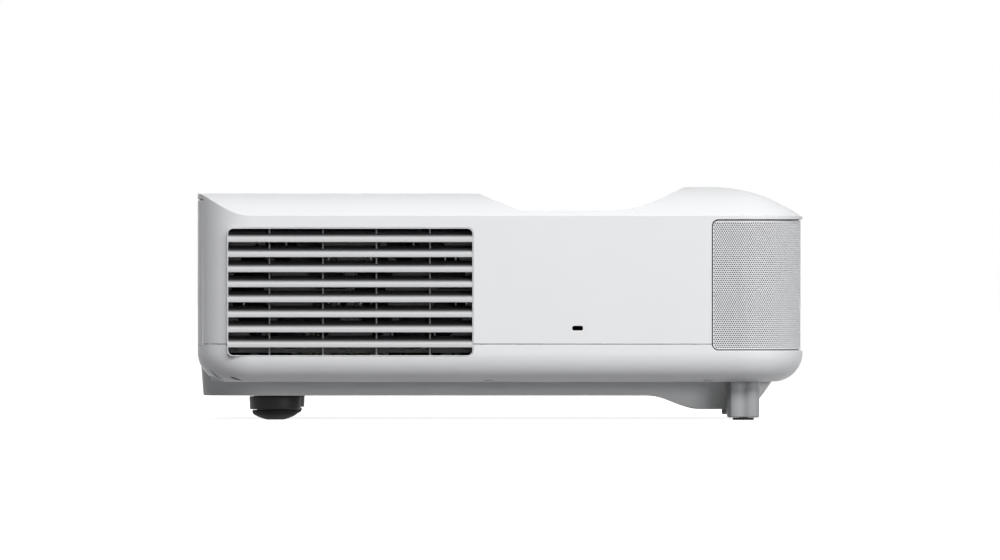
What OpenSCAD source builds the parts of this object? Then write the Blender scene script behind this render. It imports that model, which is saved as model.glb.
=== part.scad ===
// Ultra-short-throw laser projector for the home, standing free below its screen.
// +Z is up, -Y faces the room, +Y faces the wall, and the origin is under the middle of the case.

/* [Case] */
// Width across the side walls
case_w = 467; // [450:1:490]
// Depth from the speaker side to the wall side
case_d = 400; // [392:1:420]
// Height of the front hump's crest above the resting surface
case_h = 154; // [152:0.5:160]
// How far the flat rear part of the top lies below the crest
plateau_drop = 4.3; // [3:0.1:8]
// How far the valley floor between the rear part and the hump lies below the crest
valley_drop = 16; // [14:0.5:17]
// How far the crease where the side walls turn into the top lies below the crest
edge_drop = 19; // [18:0.5:20]
// Height of the seam between the upper and the lower case
seam_z = 50.2; // [49:0.1:51]
// Height of the bottom edge of the rolled lower case
roll_z = 25.3; // [24:0.1:27]
// Wall thickness of the mouldings
wall = 2.5; // [2:0.1:3]
// Radius of the two rear corners seen from above
rear_corner_r = 35; // [30:1:40]
// Radius of the two front corners seen from above
front_corner_r = 43; // [40:1:46]
// Steepness of the top at the side crease, in degrees
edge_slope = 55; // [50:1:60]
// Radius of the roll round the lower edge
edge_roll_r = 19.5; // [18:0.5:21]

/* [Top form] */
// Length of the rear ramp
ramp_len = 28; // [24:0.5:32]
// Length of the valley floor
valley_len = 57; // [56:0.5:60]
// Length of the whole hump, from the valley floor to the front end
hump_len = 129.5; // [128:0.5:132]
// Radius of the hollow curve that rises to the hump
cove_r = 80.5; // [76:0.5:84]
// Steepest angle of the rise to the hump, in degrees
hump_slope = 26.2; // [25:0.2:28]
// Radius of the shoulder where the rise meets the crest
shoulder_r = 9.7; // [8:0.1:11]
// Length of the front dome, from the crest to the front end
dome_len = 62; // [60:0.5:64]
// Radius of the front dome
dome_r = 105.8; // [104:0.2:112]

/* [Rear wall] */
// Height where the base pan's rear wall meets the roll
pan_top_z = 37.6; // [36:0.1:39]
// How far the base pan's rear wall stands in at its top
rear_step = 1.5; // [1:0.1:2]
// How far the base pan's rear wall stands in at its foot
rear_lean = 3.4; // [2.5:0.1:4]
// How far the rear panel ends below the flat rear part of the top
panel_drop = 5.9; // [5.5:0.1:9]
// Height of the groove above the rear panel
panel_groove = 2.1; // [1.5:0.1:2.4]
// Distance from the side walls to the rear panel
panel_side = 19.5; // [15.5:0.5:28]

/* [Base pan] */
// Height of the flat belly
belly_z = 15.9; // [14:0.1:17]
// Height of the bump under the mirror
bump_z = 7.1; // [6:0.1:9]
// Distance from the side walls to the base pan
belly_side = 45.5; // [44.5:0.5:51]
// Radius of the base pan's corners
belly_corner_r = 46; // [40:1:50]
// Length of the drop from the flat belly to the bump
bump_run = 34.7; // [30:0.1:38]
// Length of the bump, from its full depth to the front end of the base pan
bump_len = 48.3; // [46:0.1:52]
// Distance from the case's front end to the base pan
belly_setback = 20; // [18:0.5:22]
// Angle of the base pan's front face from level, in degrees
belly_front_a = 54; // [50:1:58]

/* [Exhaust louvre] */
// Distance from the rear end to the louvre opening
louvre_setback = 19.8; // [18:0.2:22]
// How much longer the louvre opening is than its two fans
louvre_margin = 2.4; // [1:0.2:4]
// Height of the louvre opening's lower edge
louvre_z = 42.1; // [41.5:0.1:43]
// How far the louvre opening ends below the crease
louvre_drop = 8; // [7:0.1:9]
// Radius of the louvre opening's corners
louvre_r = 4; // [3:0.5:5]
// Distance from slat to slat
slat_pitch = 9.92; // [9.6:0.02:10]
// Height of one slat
slat_h = 7.5; // [7:0.1:7.9]
// Thickness of a slat
slat_t = 1.6; // [1.2:0.1:2]
// Distance from rib to rib
rib_pitch = 35.3; // [34:0.1:36]
// Thickness of a rib
rib_t = 1.3; // [1:0.1:2]
// Width of the louvre frame's visible rim
rim_w = 1.2; // [1:0.1:1.6]

/* [Speaker grille] */
// Length of the grille along the side walls, up to the front end
grille_len = 59.7; // [58:0.1:62]
// Height of the grille's lower edge
grille_z = 46.8; // [46:0.1:48]
// How far the grille ends below the crease, under the lip
grille_drop = 3.3; // [3:0.1:4]
// Gap all round the grille
grille_gap = 0.8; // [0.6:0.1:1]
// How far the grille stands back from the case's outline
grille_inset = 1.5; // [1.2:0.1:1.8]
// Thickness of the grille sheet
grille_t = 0.8; // [0.6:0.1:1]
// Radius of the grille's rear corners
grille_r = 3.6; // [3:0.2:4.4]

/* [Security slot] */
// Distance from the middle to the slot
slot_y = 51; // [45:1:55]
// Height of the slot above the resting surface
slot_z = 60.7; // [59:0.1:64]
// Length of the slot, a standard size
slot_len = 7; // [7:0.1:7.2]
// Height of the slot, a standard size
slot_h = 3; // [3:0.1:3.2]

/* [Feet] */
// Distance from the front end to the front posts
post_setback = 39.5; // [38.5:0.5:41]
// Distance from the side walls to the front posts
post_side = 32.5; // [32:0.1:33]
// Width of a front post along the case
post_w = 21.4; // [20:0.2:22]
// Thickness of a front post across the case
post_t = 17; // [15:0.5:18]
// Radius of a front rubber tip
tip_r = 7; // [6:0.1:7.5]
// How far a rubber tip stands out of its post
tip_h = 1.65; // [1.2:0.05:2]
// Distance from the rear end to the rear feet
foot_setback = 50.9; // [50:0.1:54]
// Distance from the side walls to the rear feet
foot_side = 73.5; // [72:0.5:78]
// Radius of a rear foot's knob at its top
knob_r = 17.2; // [16:0.1:17.6]
// Height of the knob's lower edge above the resting surface
knob_z = 6.8; // [6:0.1:7.5]
// Radius of a rear rubber pad
pad_r = 15.15; // [14:0.05:15.6]
// Radius of the foot's threaded stud, M8
stud_r = 4; // [3:0.5:4]
// How far a rear foot screws out
foot_travel = 6; // [4:0.5:6]

/* [Fans] */
// Side of the square fan frames, a standard size
fan_size = 80; // [76:1:80]
// Depth of the fan frames, a standard size
fan_t = 25; // [24:0.5:26]
// Thinnest wall of the fan frames, round the bore
fan_rim = 1.5; // [1.5:0.1:3]
// Radius of the fan hubs
hub_r = 17; // [15:0.5:18]
// Number of blades of a fan
blade_count = 7; // [5:1:9]
// Lean of the fan blades, in degrees
blade_lean = 38; // [30:1:42]
// Radius of the fan and wheel shafts
shaft_r = 1.5; // [1.5:0.1:2]
// Distance from the side wall to the exhaust fans
fan_setback = 14; // [13:0.5:16]

/* [Filter side] */
// Length of the filter cover
cover_len = 112; // [108:1:116]
// How far the filter cover ends below the crease
cover_drop = 9; // [7:1:11]
// Distance from the middle to the filter cover's centre, towards the room
cover_y = 8; // [6:1:10]
// Height of the filter cover's hinge line
cover_z = 54; // [53.5:0.1:55]
// Number of slots in the filter cover
cover_slots = 6; // [4:1:7]
// Thickness of the filter
filter_t = 8; // [6:0.5:9]
// Radius of the cover's hinge pins
pin_r = 1.2; // [1:0.1:1.3]

/* [Buttons] */
// Distance from the rear end to the power button
button_setback = 50; // [45:1:55]
// How far the buttons lie below the crease
button_drop = 23; // [19:1:27]
// Distance between the two buttons
button_pitch = 20; // [17:1:22]
// Radius of a button
button_r = 5.5; // [4.5:0.1:6]
// How far a button travels
button_travel = 0.8; // [0.5:0.1:1]

/* [Optics] */
// Height of the optical axis
axis_z = 84; // [82:1:86]
// Radius of the lens barrel
barrel_r = 34; // [32:0.5:36]
// Length of the lens barrel
barrel_len = 92; // [88:1:94]
// Distance from the middle to the barrel's front end, towards the room
barrel_front = 54; // [52:1:56]
// Travel of the focusing lens each way
focus_travel = 3; // [2:0.5:3]
// Width of the concave mirror
mirror_w = 170; // [160:1:176]
// Height that the case keeps free above and below the concave mirror
mirror_space = 70; // [68:1:76]
// Radius of the concave mirror's surface
mirror_r = 320; // [300:10:400]
// Width of the window at its front edge
window_w = 190; // [180:1:200]
// Length of the window along the valley
window_len = 50; // [46:1:52]
// Thickness of the window glass
glass_t = 2; // [1.8:0.1:2.4]
// Side of the cross prism
prism_a = 26; // [24:0.5:28]
// Diameter of the phosphor wheel
wheel_d = 60; // [54:1:62]

/* [Speakers] */
// Radius of the speaker cones
cone_r = 30; // [26:0.5:31]
// Distance from the side walls to the middle of a speaker
speaker_side = 83.5; // [80:0.5:87]
// Depth of a speaker box
speaker_d = 38; // [34:1:40]

/* [Hidden] */

// Steps of the true circles, and the turn between two points of an arc
smooth = 64;
arc_step = 3;
// Thin clearances: pieces that sit in each other, pieces that slide, and shafts in bores
seat = 0.1;
slide_gap = 0.3;
running = 0.05;

half_w = case_w / 2;
half_d = case_d / 2;

// The top's heights and the lengths along the case
plateau_z = case_h - plateau_drop;
valley_z = case_h - valley_drop;
edge_z = case_h - edge_drop;
panel_top_z = plateau_z - panel_drop;
cove_start = half_d - hump_len;
ramp_foot = cove_start - valley_len;
ramp_top_y = ramp_len - ramp_foot;
dome_start = half_d - dome_len;
panel_half_w = half_w - panel_side;
belly_half_w = half_w - belly_side;
belly_front = half_d - belly_setback;
bump_full = belly_front - bump_len;
bump_start = bump_full - bump_run;
white = [0.93, 0.93, 0.94];
grey = [0.62, 0.62, 0.63];
dark = [0.12, 0.12, 0.13];
metal = [0.75, 0.76, 0.78];

ramp_a = atan((plateau_z - valley_z) / (ramp_top_y + ramp_foot));
rise_run = (case_h - valley_z - (cove_r + shoulder_r) * (1 - cos(hump_slope))) / sin(hump_slope);
crest_start = cove_start + (cove_r + shoulder_r) * sin(hump_slope) + rise_run * cos(hump_slope);

// Walls and screws
boss_r = 4;
boss_h = 12;
screw_r = 1.5;
screw_head_r = 2.8;
screw_head_h = 4;
head_t = 1.4;

// Exhaust louvre and fans
louvre_len = 2 * fan_size + louvre_margin;
louvre_far = half_d - louvre_setback;
louvre_near = louvre_far - louvre_len;
louvre_top = edge_z - louvre_drop;
louvre_h = louvre_top - louvre_z;
louvre_depth = 12;
top_gap = 2.1;
slat_count = floor((louvre_h - top_gap) / slat_pitch);
slat_face = 0.4;
slat_rise = 2.2;
slat_bend = 2;
slat_a = 20;
rib_first = 28.7;
rib_count = 1 + floor((louvre_len - rib_first) / rib_pitch);
fan_bore = fan_size - 2 * fan_rim;
fan_z = louvre_z + louvre_h / 2 - fan_size / 2;
exhaust_x = fan_setback - half_w;
exhaust_mid = louvre_near + louvre_len / 2;
exhaust_ys = [exhaust_mid + fan_size / 2 + seat, exhaust_mid - fan_size / 2 - seat];
arm_count = 3;

// Speaker grille, its carrier and the speakers
grille_back = half_d - grille_len;
grille_top_z = edge_z - grille_drop;
grille_low = grille_z - grille_gap;
carrier_t = 2;
carrier_in = wall + seat;
speaker_z = (grille_z + grille_top_z) / 2;
speaker_x = half_w - speaker_side;
box_rim = 8;

// Window in the valley
window_far = -ramp_foot - 4;
window_near = window_far - window_len;
window_back_w = window_w * 0.6;
frame_lip = 4;

// Filter cover, its hinge, its frame and the intake fan
cover_gap = 0.5;
cover_far = cover_len / 2 - cover_y;
cover_near = -cover_len / 2 - cover_y;
cover_top = edge_z - cover_drop;
cover_h = cover_top - cover_z;
ear_w = 4;
hinge_x = half_w - wall;
hinge_z = cover_z + wall;
frame_depth = 15;
frame_wall = 1.6;
frame_out = 5;
frame_x = half_w - wall - frame_depth;
intake_x = half_w - wall - frame_depth - fan_t - seat;

// Buttons and indicator
button_y = half_d - button_setback;
button_z = edge_z - button_drop;
guide_t = 1.4;
guide_len = 6 + button_travel;
flange_r = button_r + 1.5;
indicator_y = button_y - 2 * button_pitch;
indicator_len = 12;
indicator_h = 6;

// Places of the case screws
screw_x = half_w - edge_roll_r - boss_r - 5;
screw_places = [
  [-screw_x, half_d - 13], [-screw_x, louvre_near - boss_r - 7], [-screw_x, 72 - half_d],
  [screw_x, half_d - 13], [screw_x, cover_far + 14], [screw_x, 72 - half_d]
];

// Base pan and feet
post_y = half_d - post_setback;
post_x = half_w - post_side;
screw_foot_y = half_d - foot_setback;
screw_foot_x = half_w - foot_side;
floor_z = belly_z + wall;
stud_boss_r = 8;
stud_top = floor_z + 14 + foot_travel;
pivot_r = 5;
pivot_h = 3;
tip_stub_r = 3;
pan_rim = 4;

// Rear panel and its sockets
panel_gap = 0.3;
groove_depth = 1.2;
panel_screw_xs = [-panel_half_w + 24, -60, 60, panel_half_w - 24];
panel_screw_z = panel_top_z - 12;
socket_z = 68;
socket_d = 16;
inlet_x = 64 - panel_half_w;
inlet_w = 27.4;
inlet_h = 19.8;
inlet_d = 15;
hdmi_xs = [16, 40, 64];
hdmi_w = 15.2;
hdmi_h = 6;
usb_xs = [90, 112];
usb_w = 14.4;
usb_h = 6.8;
jack_xs = [134, 152];
jack_w = 10;
jack_h = 10;
jack_r = 1.8;

// Optics
base_z = 34;
base_t = 4;
arm_y = 10 - barrel_front;
arm_w = 6;
arm_t = 3;
intake_y = arm_y + focus_travel + arm_w / 2 + 2 + fan_size / 2;
base_low = [-100, arm_y + 6];
base_high = [70, 142];
barrel_back = barrel_len - barrel_front;
barrel_t = 2.5;
carriage_w = 8;
filter_near = arm_y + focus_travel + arm_w / 2 + 6;
wheel_x = -46;
wheel_y = base_high[1] - 38;
motor_r = 12;
laser_half = 30;
prism_y = barrel_back + prism_a / 2 + 2;
mirror_y = half_d - 28;
mirror_h = case_h - mirror_space;
mirror_lean = 12;
mirror_low = axis_z + 6 - mirror_h / 2 * cos(mirror_lean);

// Laser cooling and boards
sink_low = [exhaust_x + fan_t + 4, exhaust_mid - fan_size + 3, base_z + base_t + 8];
sink_high = [base_low[0] - 6, exhaust_mid + fan_size - 3, fan_z + fan_size];
sink_base_t = 5;
fin_t = 1;
fin_pitch = 7;
pipe_r = 3;
board_t = 1.6;
board_y = half_d - 22;
supply_low = [belly_half_w - 104, 50, floor_z + 5];
supply_high = [belly_half_w - 8, 128];
transformer = [36, 32, 30];
coil = [30, 18, 22];
can_r = 9;
can_h = 36;
can_pitch = [24, 30];

// The points of an arc about c, from angle a0 to angle a1
function arc(c, r, a0, a1) =
  let (n = max(2, ceil(abs(a1 - a0) / arc_step)))
  [for (i = [0:n]) c + r * [cos(a0 + (a1 - a0) * i / n), sin(a0 + (a1 - a0) * i / n)]];

// A block given by its lowest and highest corners
module block(low, high) {
  translate(low)
    cube(high - low);
}

// A round bar along X, Y or Z that starts at a point
module bar_x(at, r, len) {
  translate(at)
    rotate([0, 90, 0])
      cylinder(r = r, h = len, $fn = smooth);
}

module bar_y(at, r, len) {
  translate(at)
    rotate([-90, 0, 0])
      cylinder(r = r, h = len, $fn = smooth);
}

module bar_z(at, r, len) {
  translate(at)
    cylinder(r = r, h = len, $fn = smooth);
}

// A flat outline in (y, z), drawn out along X between two places
module along_x(x0, x1) {
  translate([x0, 0, 0])
    rotate([90, 0, 90])
      linear_extrude(x1 - x0)
        children();
}

// A flat outline in (x, z), drawn out along Y between two places
module along_y(y0, y1) {
  translate([0, y1, 0])
    rotate([90, 0, 0])
      linear_extrude(y1 - y0)
        children();
}

// A rectangle with round corners, from its lowest and highest corners
module round_rect(low, high, r) {
  polygon(concat(
    arc([high[0] - r, high[1] - r], r, 0, 90),
    arc([low[0] + r, high[1] - r], r, 90, 180),
    arc([low[0] + r, low[1] + r], r, 180, 270),
    arc([high[0] - r, low[1] + r], r, 270, 360)
  ));
}

// ---- The case's form, t millimetres inside its outer skin ----

// Seen from above: corners of their own radius at the rear and at the front
module case_plan(t) {
  rear = rear_corner_r - t;
  front = front_corner_r - t;
  polygon(concat(
    arc([half_w - rear_corner_r, half_d - rear_corner_r], rear, 0, 90),
    arc([rear_corner_r - half_w, half_d - rear_corner_r], rear, 90, 180),
    arc([front_corner_r - half_w, front_corner_r - half_d], front, 180, 270),
    arc([half_w - front_corner_r, front_corner_r - half_d], front, 270, 360)
  ));
}

// Seen from the side: plateau, ramp, valley, rise to the hump, and dome
module side_outline(t) {
  ramp_shift = t * tan(ramp_a / 2);
  end_a = 90 + asin((half_d + 1 - dome_start) / (dome_r - t));
  polygon(concat(
    [[half_d + 1, roll_z], [half_d + 1, plateau_z - t]],
    [[ramp_top_y + ramp_shift, plateau_z - t], [ramp_shift - ramp_foot, valley_z - t]],
    arc([-cove_start, valley_z + cove_r], cove_r + t, 270, 270 - hump_slope),
    arc([-crest_start, case_h - shoulder_r], shoulder_r - t, 90 - hump_slope, 90),
    arc([-dome_start, case_h - dome_r], dome_r - t, 90, end_a),
    [[-half_d - 1, roll_z]]
  ));
}

// Seen from the front: a crown of the given height
module crown_outline(top, t) {
  crown_r = (top - edge_z) / (1 - cos(edge_slope));
  crown_x = half_w - crown_r * sin(edge_slope);
  crown_a = acos((half_w + 1 - crown_x) / (crown_r - t));
  side = concat([[half_w + 1, roll_z]], arc([crown_x, top - crown_r], crown_r - t, crown_a, 90));
  polygon(concat(side, [for (i = [len(side) - 1:-1:0]) [-side[i][0], side[i][1]]]));
}

// The wall with its rolled lower edge, from an axis out to a reach
module rolled_section(reach, t) {
  polygon(concat(
    [[0, case_h], [0, roll_z + t]],
    arc([reach - edge_roll_r, roll_z + edge_roll_r], edge_roll_r - t, 270, 360),
    [[reach - t, case_h]]
  ));
}

// Four straight walls between four turned corners, rolled under all round
module rolled_body(t) {
  front = [half_w - front_corner_r, half_d - front_corner_r];
  rear = [half_w - rear_corner_r, half_d - rear_corner_r];
  for (s = [0, 1])
    mirror([s, 0, 0]) {
      along_y(-front[1], rear[1])
        rolled_section(half_w, t);
      translate([front[0], -front[1], 0])
        rotate([0, 0, -90])
          rotate_extrude(angle = 90, $fn = 2 * smooth)
            rolled_section(front_corner_r, t);
      translate([rear[0], rear[1], 0])
        rotate_extrude(angle = 90, $fn = 2 * smooth)
          rolled_section(rear_corner_r, t);
    }
  along_x(-rear[0], rear[0])
    rolled_section(half_d, t);
  mirror([0, 1, 0])
    along_x(-front[0], front[0])
      rolled_section(half_d, t);
}

module case_form(t) {
  intersection() {
    rolled_body(t);
    along_x(-half_w, half_w)
      side_outline(t);
    union() {
      along_y(-half_d - 1, -ramp_foot)
        crown_outline(case_h, t);
      along_y(-ramp_foot, half_d + 1)
        crown_outline(plateau_z, t);
    }
  }
}

// A wall of the case between two heights
module case_shell(low, high) {
  difference() {
    intersection() {
      case_form(0);
      block([-case_w, -case_d, low], [case_w, case_d, high]);
    }
    case_form(wall);
  }
}

// A band that follows the case's outline, between two depths and two heights
module plan_band(outer, inner, low, high) {
  translate([0, 0, low])
    linear_extrude(high - low)
      difference() {
        case_plan(outer);
        case_plan(inner);
      }
}

// ---- Where things are on the case ----

module louvre_hole(grow) {
  round_rect([louvre_near - grow, louvre_z - grow], [louvre_far + grow, louvre_top + grow], louvre_r + grow);
}

module grille_hole(grow) {
  round_rect([-case_d, grille_z - grow], [grow - grille_back, grille_top_z + grow], grille_r + grow);
}

// The window is wider towards the room, as the beam is
module window_plan(grow) {
  polygon([
    [window_w / 2 + grow, window_near - grow], [window_back_w / 2 + grow, window_far + grow],
    [-window_back_w / 2 - grow, window_far + grow], [-window_w / 2 - grow, window_near - grow]
  ]);
}

// The slot is cut with corners of 1 mm through whatever stands between two places
module security_hole(x0, x1) {
  along_x(x0, x1)
    translate([-slot_y, slot_z])
      round_rect([-slot_len / 2, -slot_h / 2], [slot_len / 2, slot_h / 2], 1);
}

module button_holes() {
  for (i = [0, 1])
    bar_x([half_w - wall - 1, button_y - i * button_pitch, button_z], button_r + slide_gap, wall + 2);
}

module case_openings() {
  along_x(-half_w - 1, louvre_depth - half_w)
    louvre_hole(seat);
  along_x(-half_w - 1, half_w + 1)
    grille_hole(grille_gap);
  block([half_w - wall - 1, cover_near - cover_gap, cover_z - cover_gap],
    [half_w + 1, cover_far + cover_gap, cover_top + cover_gap]);
  block(
    [half_w - wall - 1, indicator_y - indicator_len / 2 - seat, button_z - indicator_h / 2 - seat],
    [half_w + 1, indicator_y + indicator_len / 2 + seat, button_z + indicator_h / 2 + seat]
  );
  block(
    [-panel_half_w - panel_gap, half_d - 2 * rear_corner_r, seam_z - 1],
    [panel_half_w + panel_gap, half_d + 1, panel_top_z + panel_groove]
  );
  security_hole(-half_w - 1, wall - half_w + 1);
  button_holes();
}

// Screw bosses of the upper case, each on a web from the side wall
module upper_bosses() {
  for (at = screw_places)
    difference() {
      intersection() {
        union() {
          bar_z([at[0], at[1], seam_z], boss_r, boss_h);
          block(
            [min(at[0], sign(at[0]) * half_w), at[1] - 1, seam_z + 4],
            [max(at[0], sign(at[0]) * half_w), at[1] + 1, seam_z + boss_h]
          );
        }
        case_form(wall / 2);
      }
      bar_z([at[0], at[1], seam_z - 1], screw_r + seat, boss_h - 1);
    }
}

// ---- Casings ----

module upper_case() {
  color(white)
    difference() {
      union() {
        difference() {
          case_shell(seam_z, case_h);
          case_openings();
          translate([0, 0, valley_z - 2 * wall])
            linear_extrude(3 * wall)
              window_plan(0);
        }
        upper_bosses();
        hinge_ears();
        button_guides();
        panel_lugs();
      }
      hinge_bores();
    }
}

// Ears at both ends of the filter cover's knuckle, round above the hinge line
module hinge_ears() {
  length = ear_w - slide_gap + cover_gap + 1;
  for (y = [cover_near - cover_gap - 1, cover_far - ear_w + slide_gap]) {
    bar_y([hinge_x, y, hinge_z], wall, length);
    block([hinge_x - wall, y, cover_z - 2], [half_w, y + length, hinge_z]);
  }
}

module hinge_bores() {
  bar_y([hinge_x, cover_near - slide_gap, hinge_z], pin_r + running, cover_len + 2 * slide_gap);
}

// Tubes behind the side wall that guide the buttons' flanges
module button_guides() {
  bore_r = flange_r + slide_gap;
  for (i = [0, 1])
    translate([half_w - wall, button_y - i * button_pitch, button_z])
      difference() {
        bar_x([-guide_len, 0, 0], bore_r + guide_t, guide_len + 0.5);
        bar_x([-guide_len - 1, 0, 0], bore_r, guide_len + 1);
        bar_x([-1, 0, 0], button_r + slide_gap, wall + 2);
      }
}

module belly_plan(t) {
  r = belly_corner_r - t;
  x = belly_half_w - belly_corner_r;
  polygon(concat(
    arc([x, half_d - belly_corner_r], r, 0, 90),
    arc([-x, half_d - belly_corner_r], r, 90, 180),
    arc([-x, belly_corner_r - belly_front], r, 180, 270),
    arc([x, belly_corner_r - belly_front], r, 270, 360)
  ));
}

// The belly from the side: leaning rear wall, flat, soft drop to the bump, and the slanted front face
module belly_outline(t) {
  top = pan_top_z + wall;
  front_y = t / sin(belly_front_a) - belly_front;
  depth = belly_z - bump_z;
  run = bump_full - bump_start;
  drop_steps = 12;
  drop = [for (i = [0:drop_steps]) i / drop_steps];
  polygon(concat(
    [[half_d - rear_step - t, top], [half_d - rear_lean - t, belly_z + t]],
    [for (k = drop) [-bump_start - run * k, belly_z + t - depth * (1 - cos(180 * k)) / 2]],
    [[front_y + (roll_z - bump_z - t) / tan(belly_front_a), bump_z + t], [front_y, roll_z], [front_y, top]]
  ));
}

module belly_form(t) {
  intersection() {
    translate([0, 0, bump_z - 1])
      linear_extrude(pan_top_z - bump_z + 1 + t)
        belly_plan(t);
    along_x(-half_w, half_w)
      belly_outline(t);
  }
}

module lower_case() {
  color(white)
    difference() {
      union() {
        case_shell(roll_z, seam_z);
        lower_bosses();
        fan_supports();
      }
      case_openings();
      translate([0, 0, roll_z - 1])
        linear_extrude(pan_top_z - roll_z + 1 + seat)
          belly_plan(-seat);
      for (at = screw_places) {
        bar_z([at[0], at[1], roll_z - 1], screw_head_r + seat, screw_head_h + 1);
        bar_z([at[0], at[1], roll_z - 1], screw_r + seat, seam_z);
      }
    }
}

module lower_bosses() {
  for (at = screw_places)
    bar_z([at[0], at[1], roll_z + 1], boss_r, seam_z - roll_z - 1);
}

// Short posts on the lower case that the fans stand on
module fan_supports() {
  low = roll_z + 1;
  high = fan_z - seat;
  for (k = [-0.8, -0.2, 0.2, 0.8], y = [exhaust_mid + fan_size * k])
    block([exhaust_x + 10, y - 3, low], [exhaust_x + fan_t - 2, y + 3, high]);
  for (y = [intake_y - fan_size * 0.3, intake_y + fan_size * 0.3])
    block([intake_x + 2, y - 3, low], [intake_x + fan_t - 10, y + 3, high]);
}

// Rim of the base pan that lies on the lower case's flange
module pan_flange() {
  intersection() {
    case_form(wall + seat);
    translate([0, 0, roll_z + wall + seat])
      linear_extrude(wall - seat)
        difference() {
          belly_plan(-pan_rim);
          belly_plan(wall);
        }
  }
}

module base_pan() {
  color(grey)
    difference() {
      union() {
        difference() {
          belly_form(0);
          belly_form(wall);
        }
        pan_flange();
        for (s = [-1, 1])
          bar_z([s * screw_foot_x, screw_foot_y, floor_z - 1], stud_boss_r, stud_top - floor_z);
      }
      for (s = [-1, 1])
        bar_z([s * screw_foot_x, screw_foot_y, belly_z - 1], stud_r + running, stud_top);
    }
}

// ---- Rear panel with its sockets ----

module socket_holes(grow) {
  block([inlet_x - inlet_w / 2 - 2 - grow, 0, socket_z - inlet_h / 2 - 2 - grow],
    [inlet_x + inlet_w / 2 + 2 + grow, half_d + 1, socket_z + inlet_h / 2 + 2 + grow]);
  for (x = hdmi_xs)
    block([x - hdmi_w / 2 - 1 - grow, 0, socket_z - hdmi_h / 2 - 1 - grow],
      [x + hdmi_w / 2 + 1 + grow, half_d + 1, socket_z + hdmi_h / 2 + 1 + grow]);
  for (x = usb_xs)
    block([x - usb_w / 2 - grow, 0, socket_z - usb_h / 2 - grow],
      [x + usb_w / 2 + grow, half_d + 1, socket_z + usb_h / 2 + grow]);
  for (x = jack_xs)
    block([x - jack_w / 2 - grow, 0, socket_z - jack_h / 2 - grow],
      [x + jack_w / 2 + grow, half_d + 1, socket_z + jack_h / 2 + grow]);
}

module rear_panel() {
  color(white)
    difference() {
      union() {
        intersection() {
          plan_band(0, wall, seam_z, panel_top_z);
          along_y(half_d - rear_corner_r, half_d + 1)
            round_rect([-panel_half_w, seam_z - 5], [panel_half_w, panel_top_z], 2);
        }
        // Tongue behind the groove
        intersection() {
          plan_band(groove_depth, wall, panel_top_z - 3, panel_top_z + panel_groove - seat);
          block([-panel_half_w, half_d - rear_corner_r, 0], [panel_half_w, half_d, case_h]);
        }
      }
      socket_holes(seat);
      for (x = panel_screw_xs) {
        bar_y([x, half_d - 2 * wall, panel_screw_z], screw_r + seat, 4 * wall);
        bar_y([x, half_d - head_t - seat, panel_screw_z], screw_head_r + seat, wall);
      }
      // Rows of upright air slots
      for (i = [0:11], j = [0, 1])
        block([i * 9 - 50, half_d - 2 * wall, 88 + j * 18], [i * 9 - 47, half_d + 1, 102 + j * 18]);
    }
}

module panel_screws() {
  color(metal)
    for (x = panel_screw_xs)
      union() {
        bar_y([x, half_d - head_t - 8, panel_screw_z], screw_r, 8);
        bar_y([x, half_d - head_t, panel_screw_z], screw_head_r, head_t - seat);
      }
}

// Lugs under the rear part of the top that take the panel's screws
module panel_lugs() {
  for (x = panel_screw_xs)
    difference() {
      block([x - 4, half_d - wall - 9, panel_screw_z - 4],
        [x + 4, half_d - wall - seat, plateau_z - wall / 2]);
      bar_y([x, half_d - wall - 10, panel_screw_z], screw_r + seat, 12);
    }
}

// ---- Window in the valley ----

module window_frame() {
  color(dark)
    difference() {
      union() {
        translate([0, 0, valley_z - wall - glass_t - 1])
          linear_extrude(glass_t + 1 - seat)
            window_plan(frame_lip);
        translate([0, 0, valley_z - wall - glass_t - 1])
          linear_extrude(wall + glass_t + 1)
            window_plan(-seat);
      }
      translate([0, 0, valley_z - glass_t])
        linear_extrude(2 * glass_t)
          window_plan(-2.5);
      translate([0, 0, valley_z - 4 * wall])
        linear_extrude(8 * wall)
          window_plan(-5);
    }
}

module window_glass() {
  color([0.1, 0.11, 0.14])
    translate([0, 0, valley_z - glass_t])
      linear_extrude(glass_t - 0.4)
        window_plan(-2.5 - seat);
}

// ---- Exhaust louvre ----

// A slat across the case: upright at its lower edge, then bent into a blade that rises inwards
module slat_outline() {
  centre = [slat_face + slat_bend, slat_rise];
  blade_x = louvre_depth - slat_face - slat_bend * (1 - sin(slat_a));
  blade_z = slat_rise + slat_bend * cos(slat_a) + blade_x * tan(slat_a);
  polygon(concat(
    [[slat_face, 0]],
    arc(centre, slat_bend, 180, 90 + slat_a),
    [[louvre_depth, blade_z], [louvre_depth, blade_z - slat_t / cos(slat_a)]],
    arc(centre, slat_bend - slat_t, 90 + slat_a, 180),
    [[slat_face + slat_t, 0]]
  ));
}

module exhaust_grille() {
  color(white)
    union() {
      along_x(-half_w, louvre_depth - half_w)
        difference() {
          louvre_hole(0);
          louvre_hole(-rim_w);
        }
      for (i = [0:slat_count - 1])
        translate([-half_w, 0, louvre_top - top_gap - slat_h - i * slat_pitch])
          along_y(louvre_near + rim_w / 2, louvre_far - rim_w / 2)
            slat_outline();
      for (i = [0:rib_count - 1])
        translate([0, louvre_near + rib_first + i * rib_pitch, 0])
          block([slat_face + 2 * slat_t - half_w, -rib_t / 2, louvre_z + rim_w / 2],
            [louvre_depth - half_w, rib_t / 2, louvre_top - rim_w / 2]);
    }
}

// ---- Speaker grille and what is behind it ----

module speaker_grille() {
  color(metal)
    intersection() {
      plan_band(grille_inset, grille_inset + grille_t, grille_z, grille_top_z);
      along_x(-half_w, half_w)
        grille_hole(0);
    }
}

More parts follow.
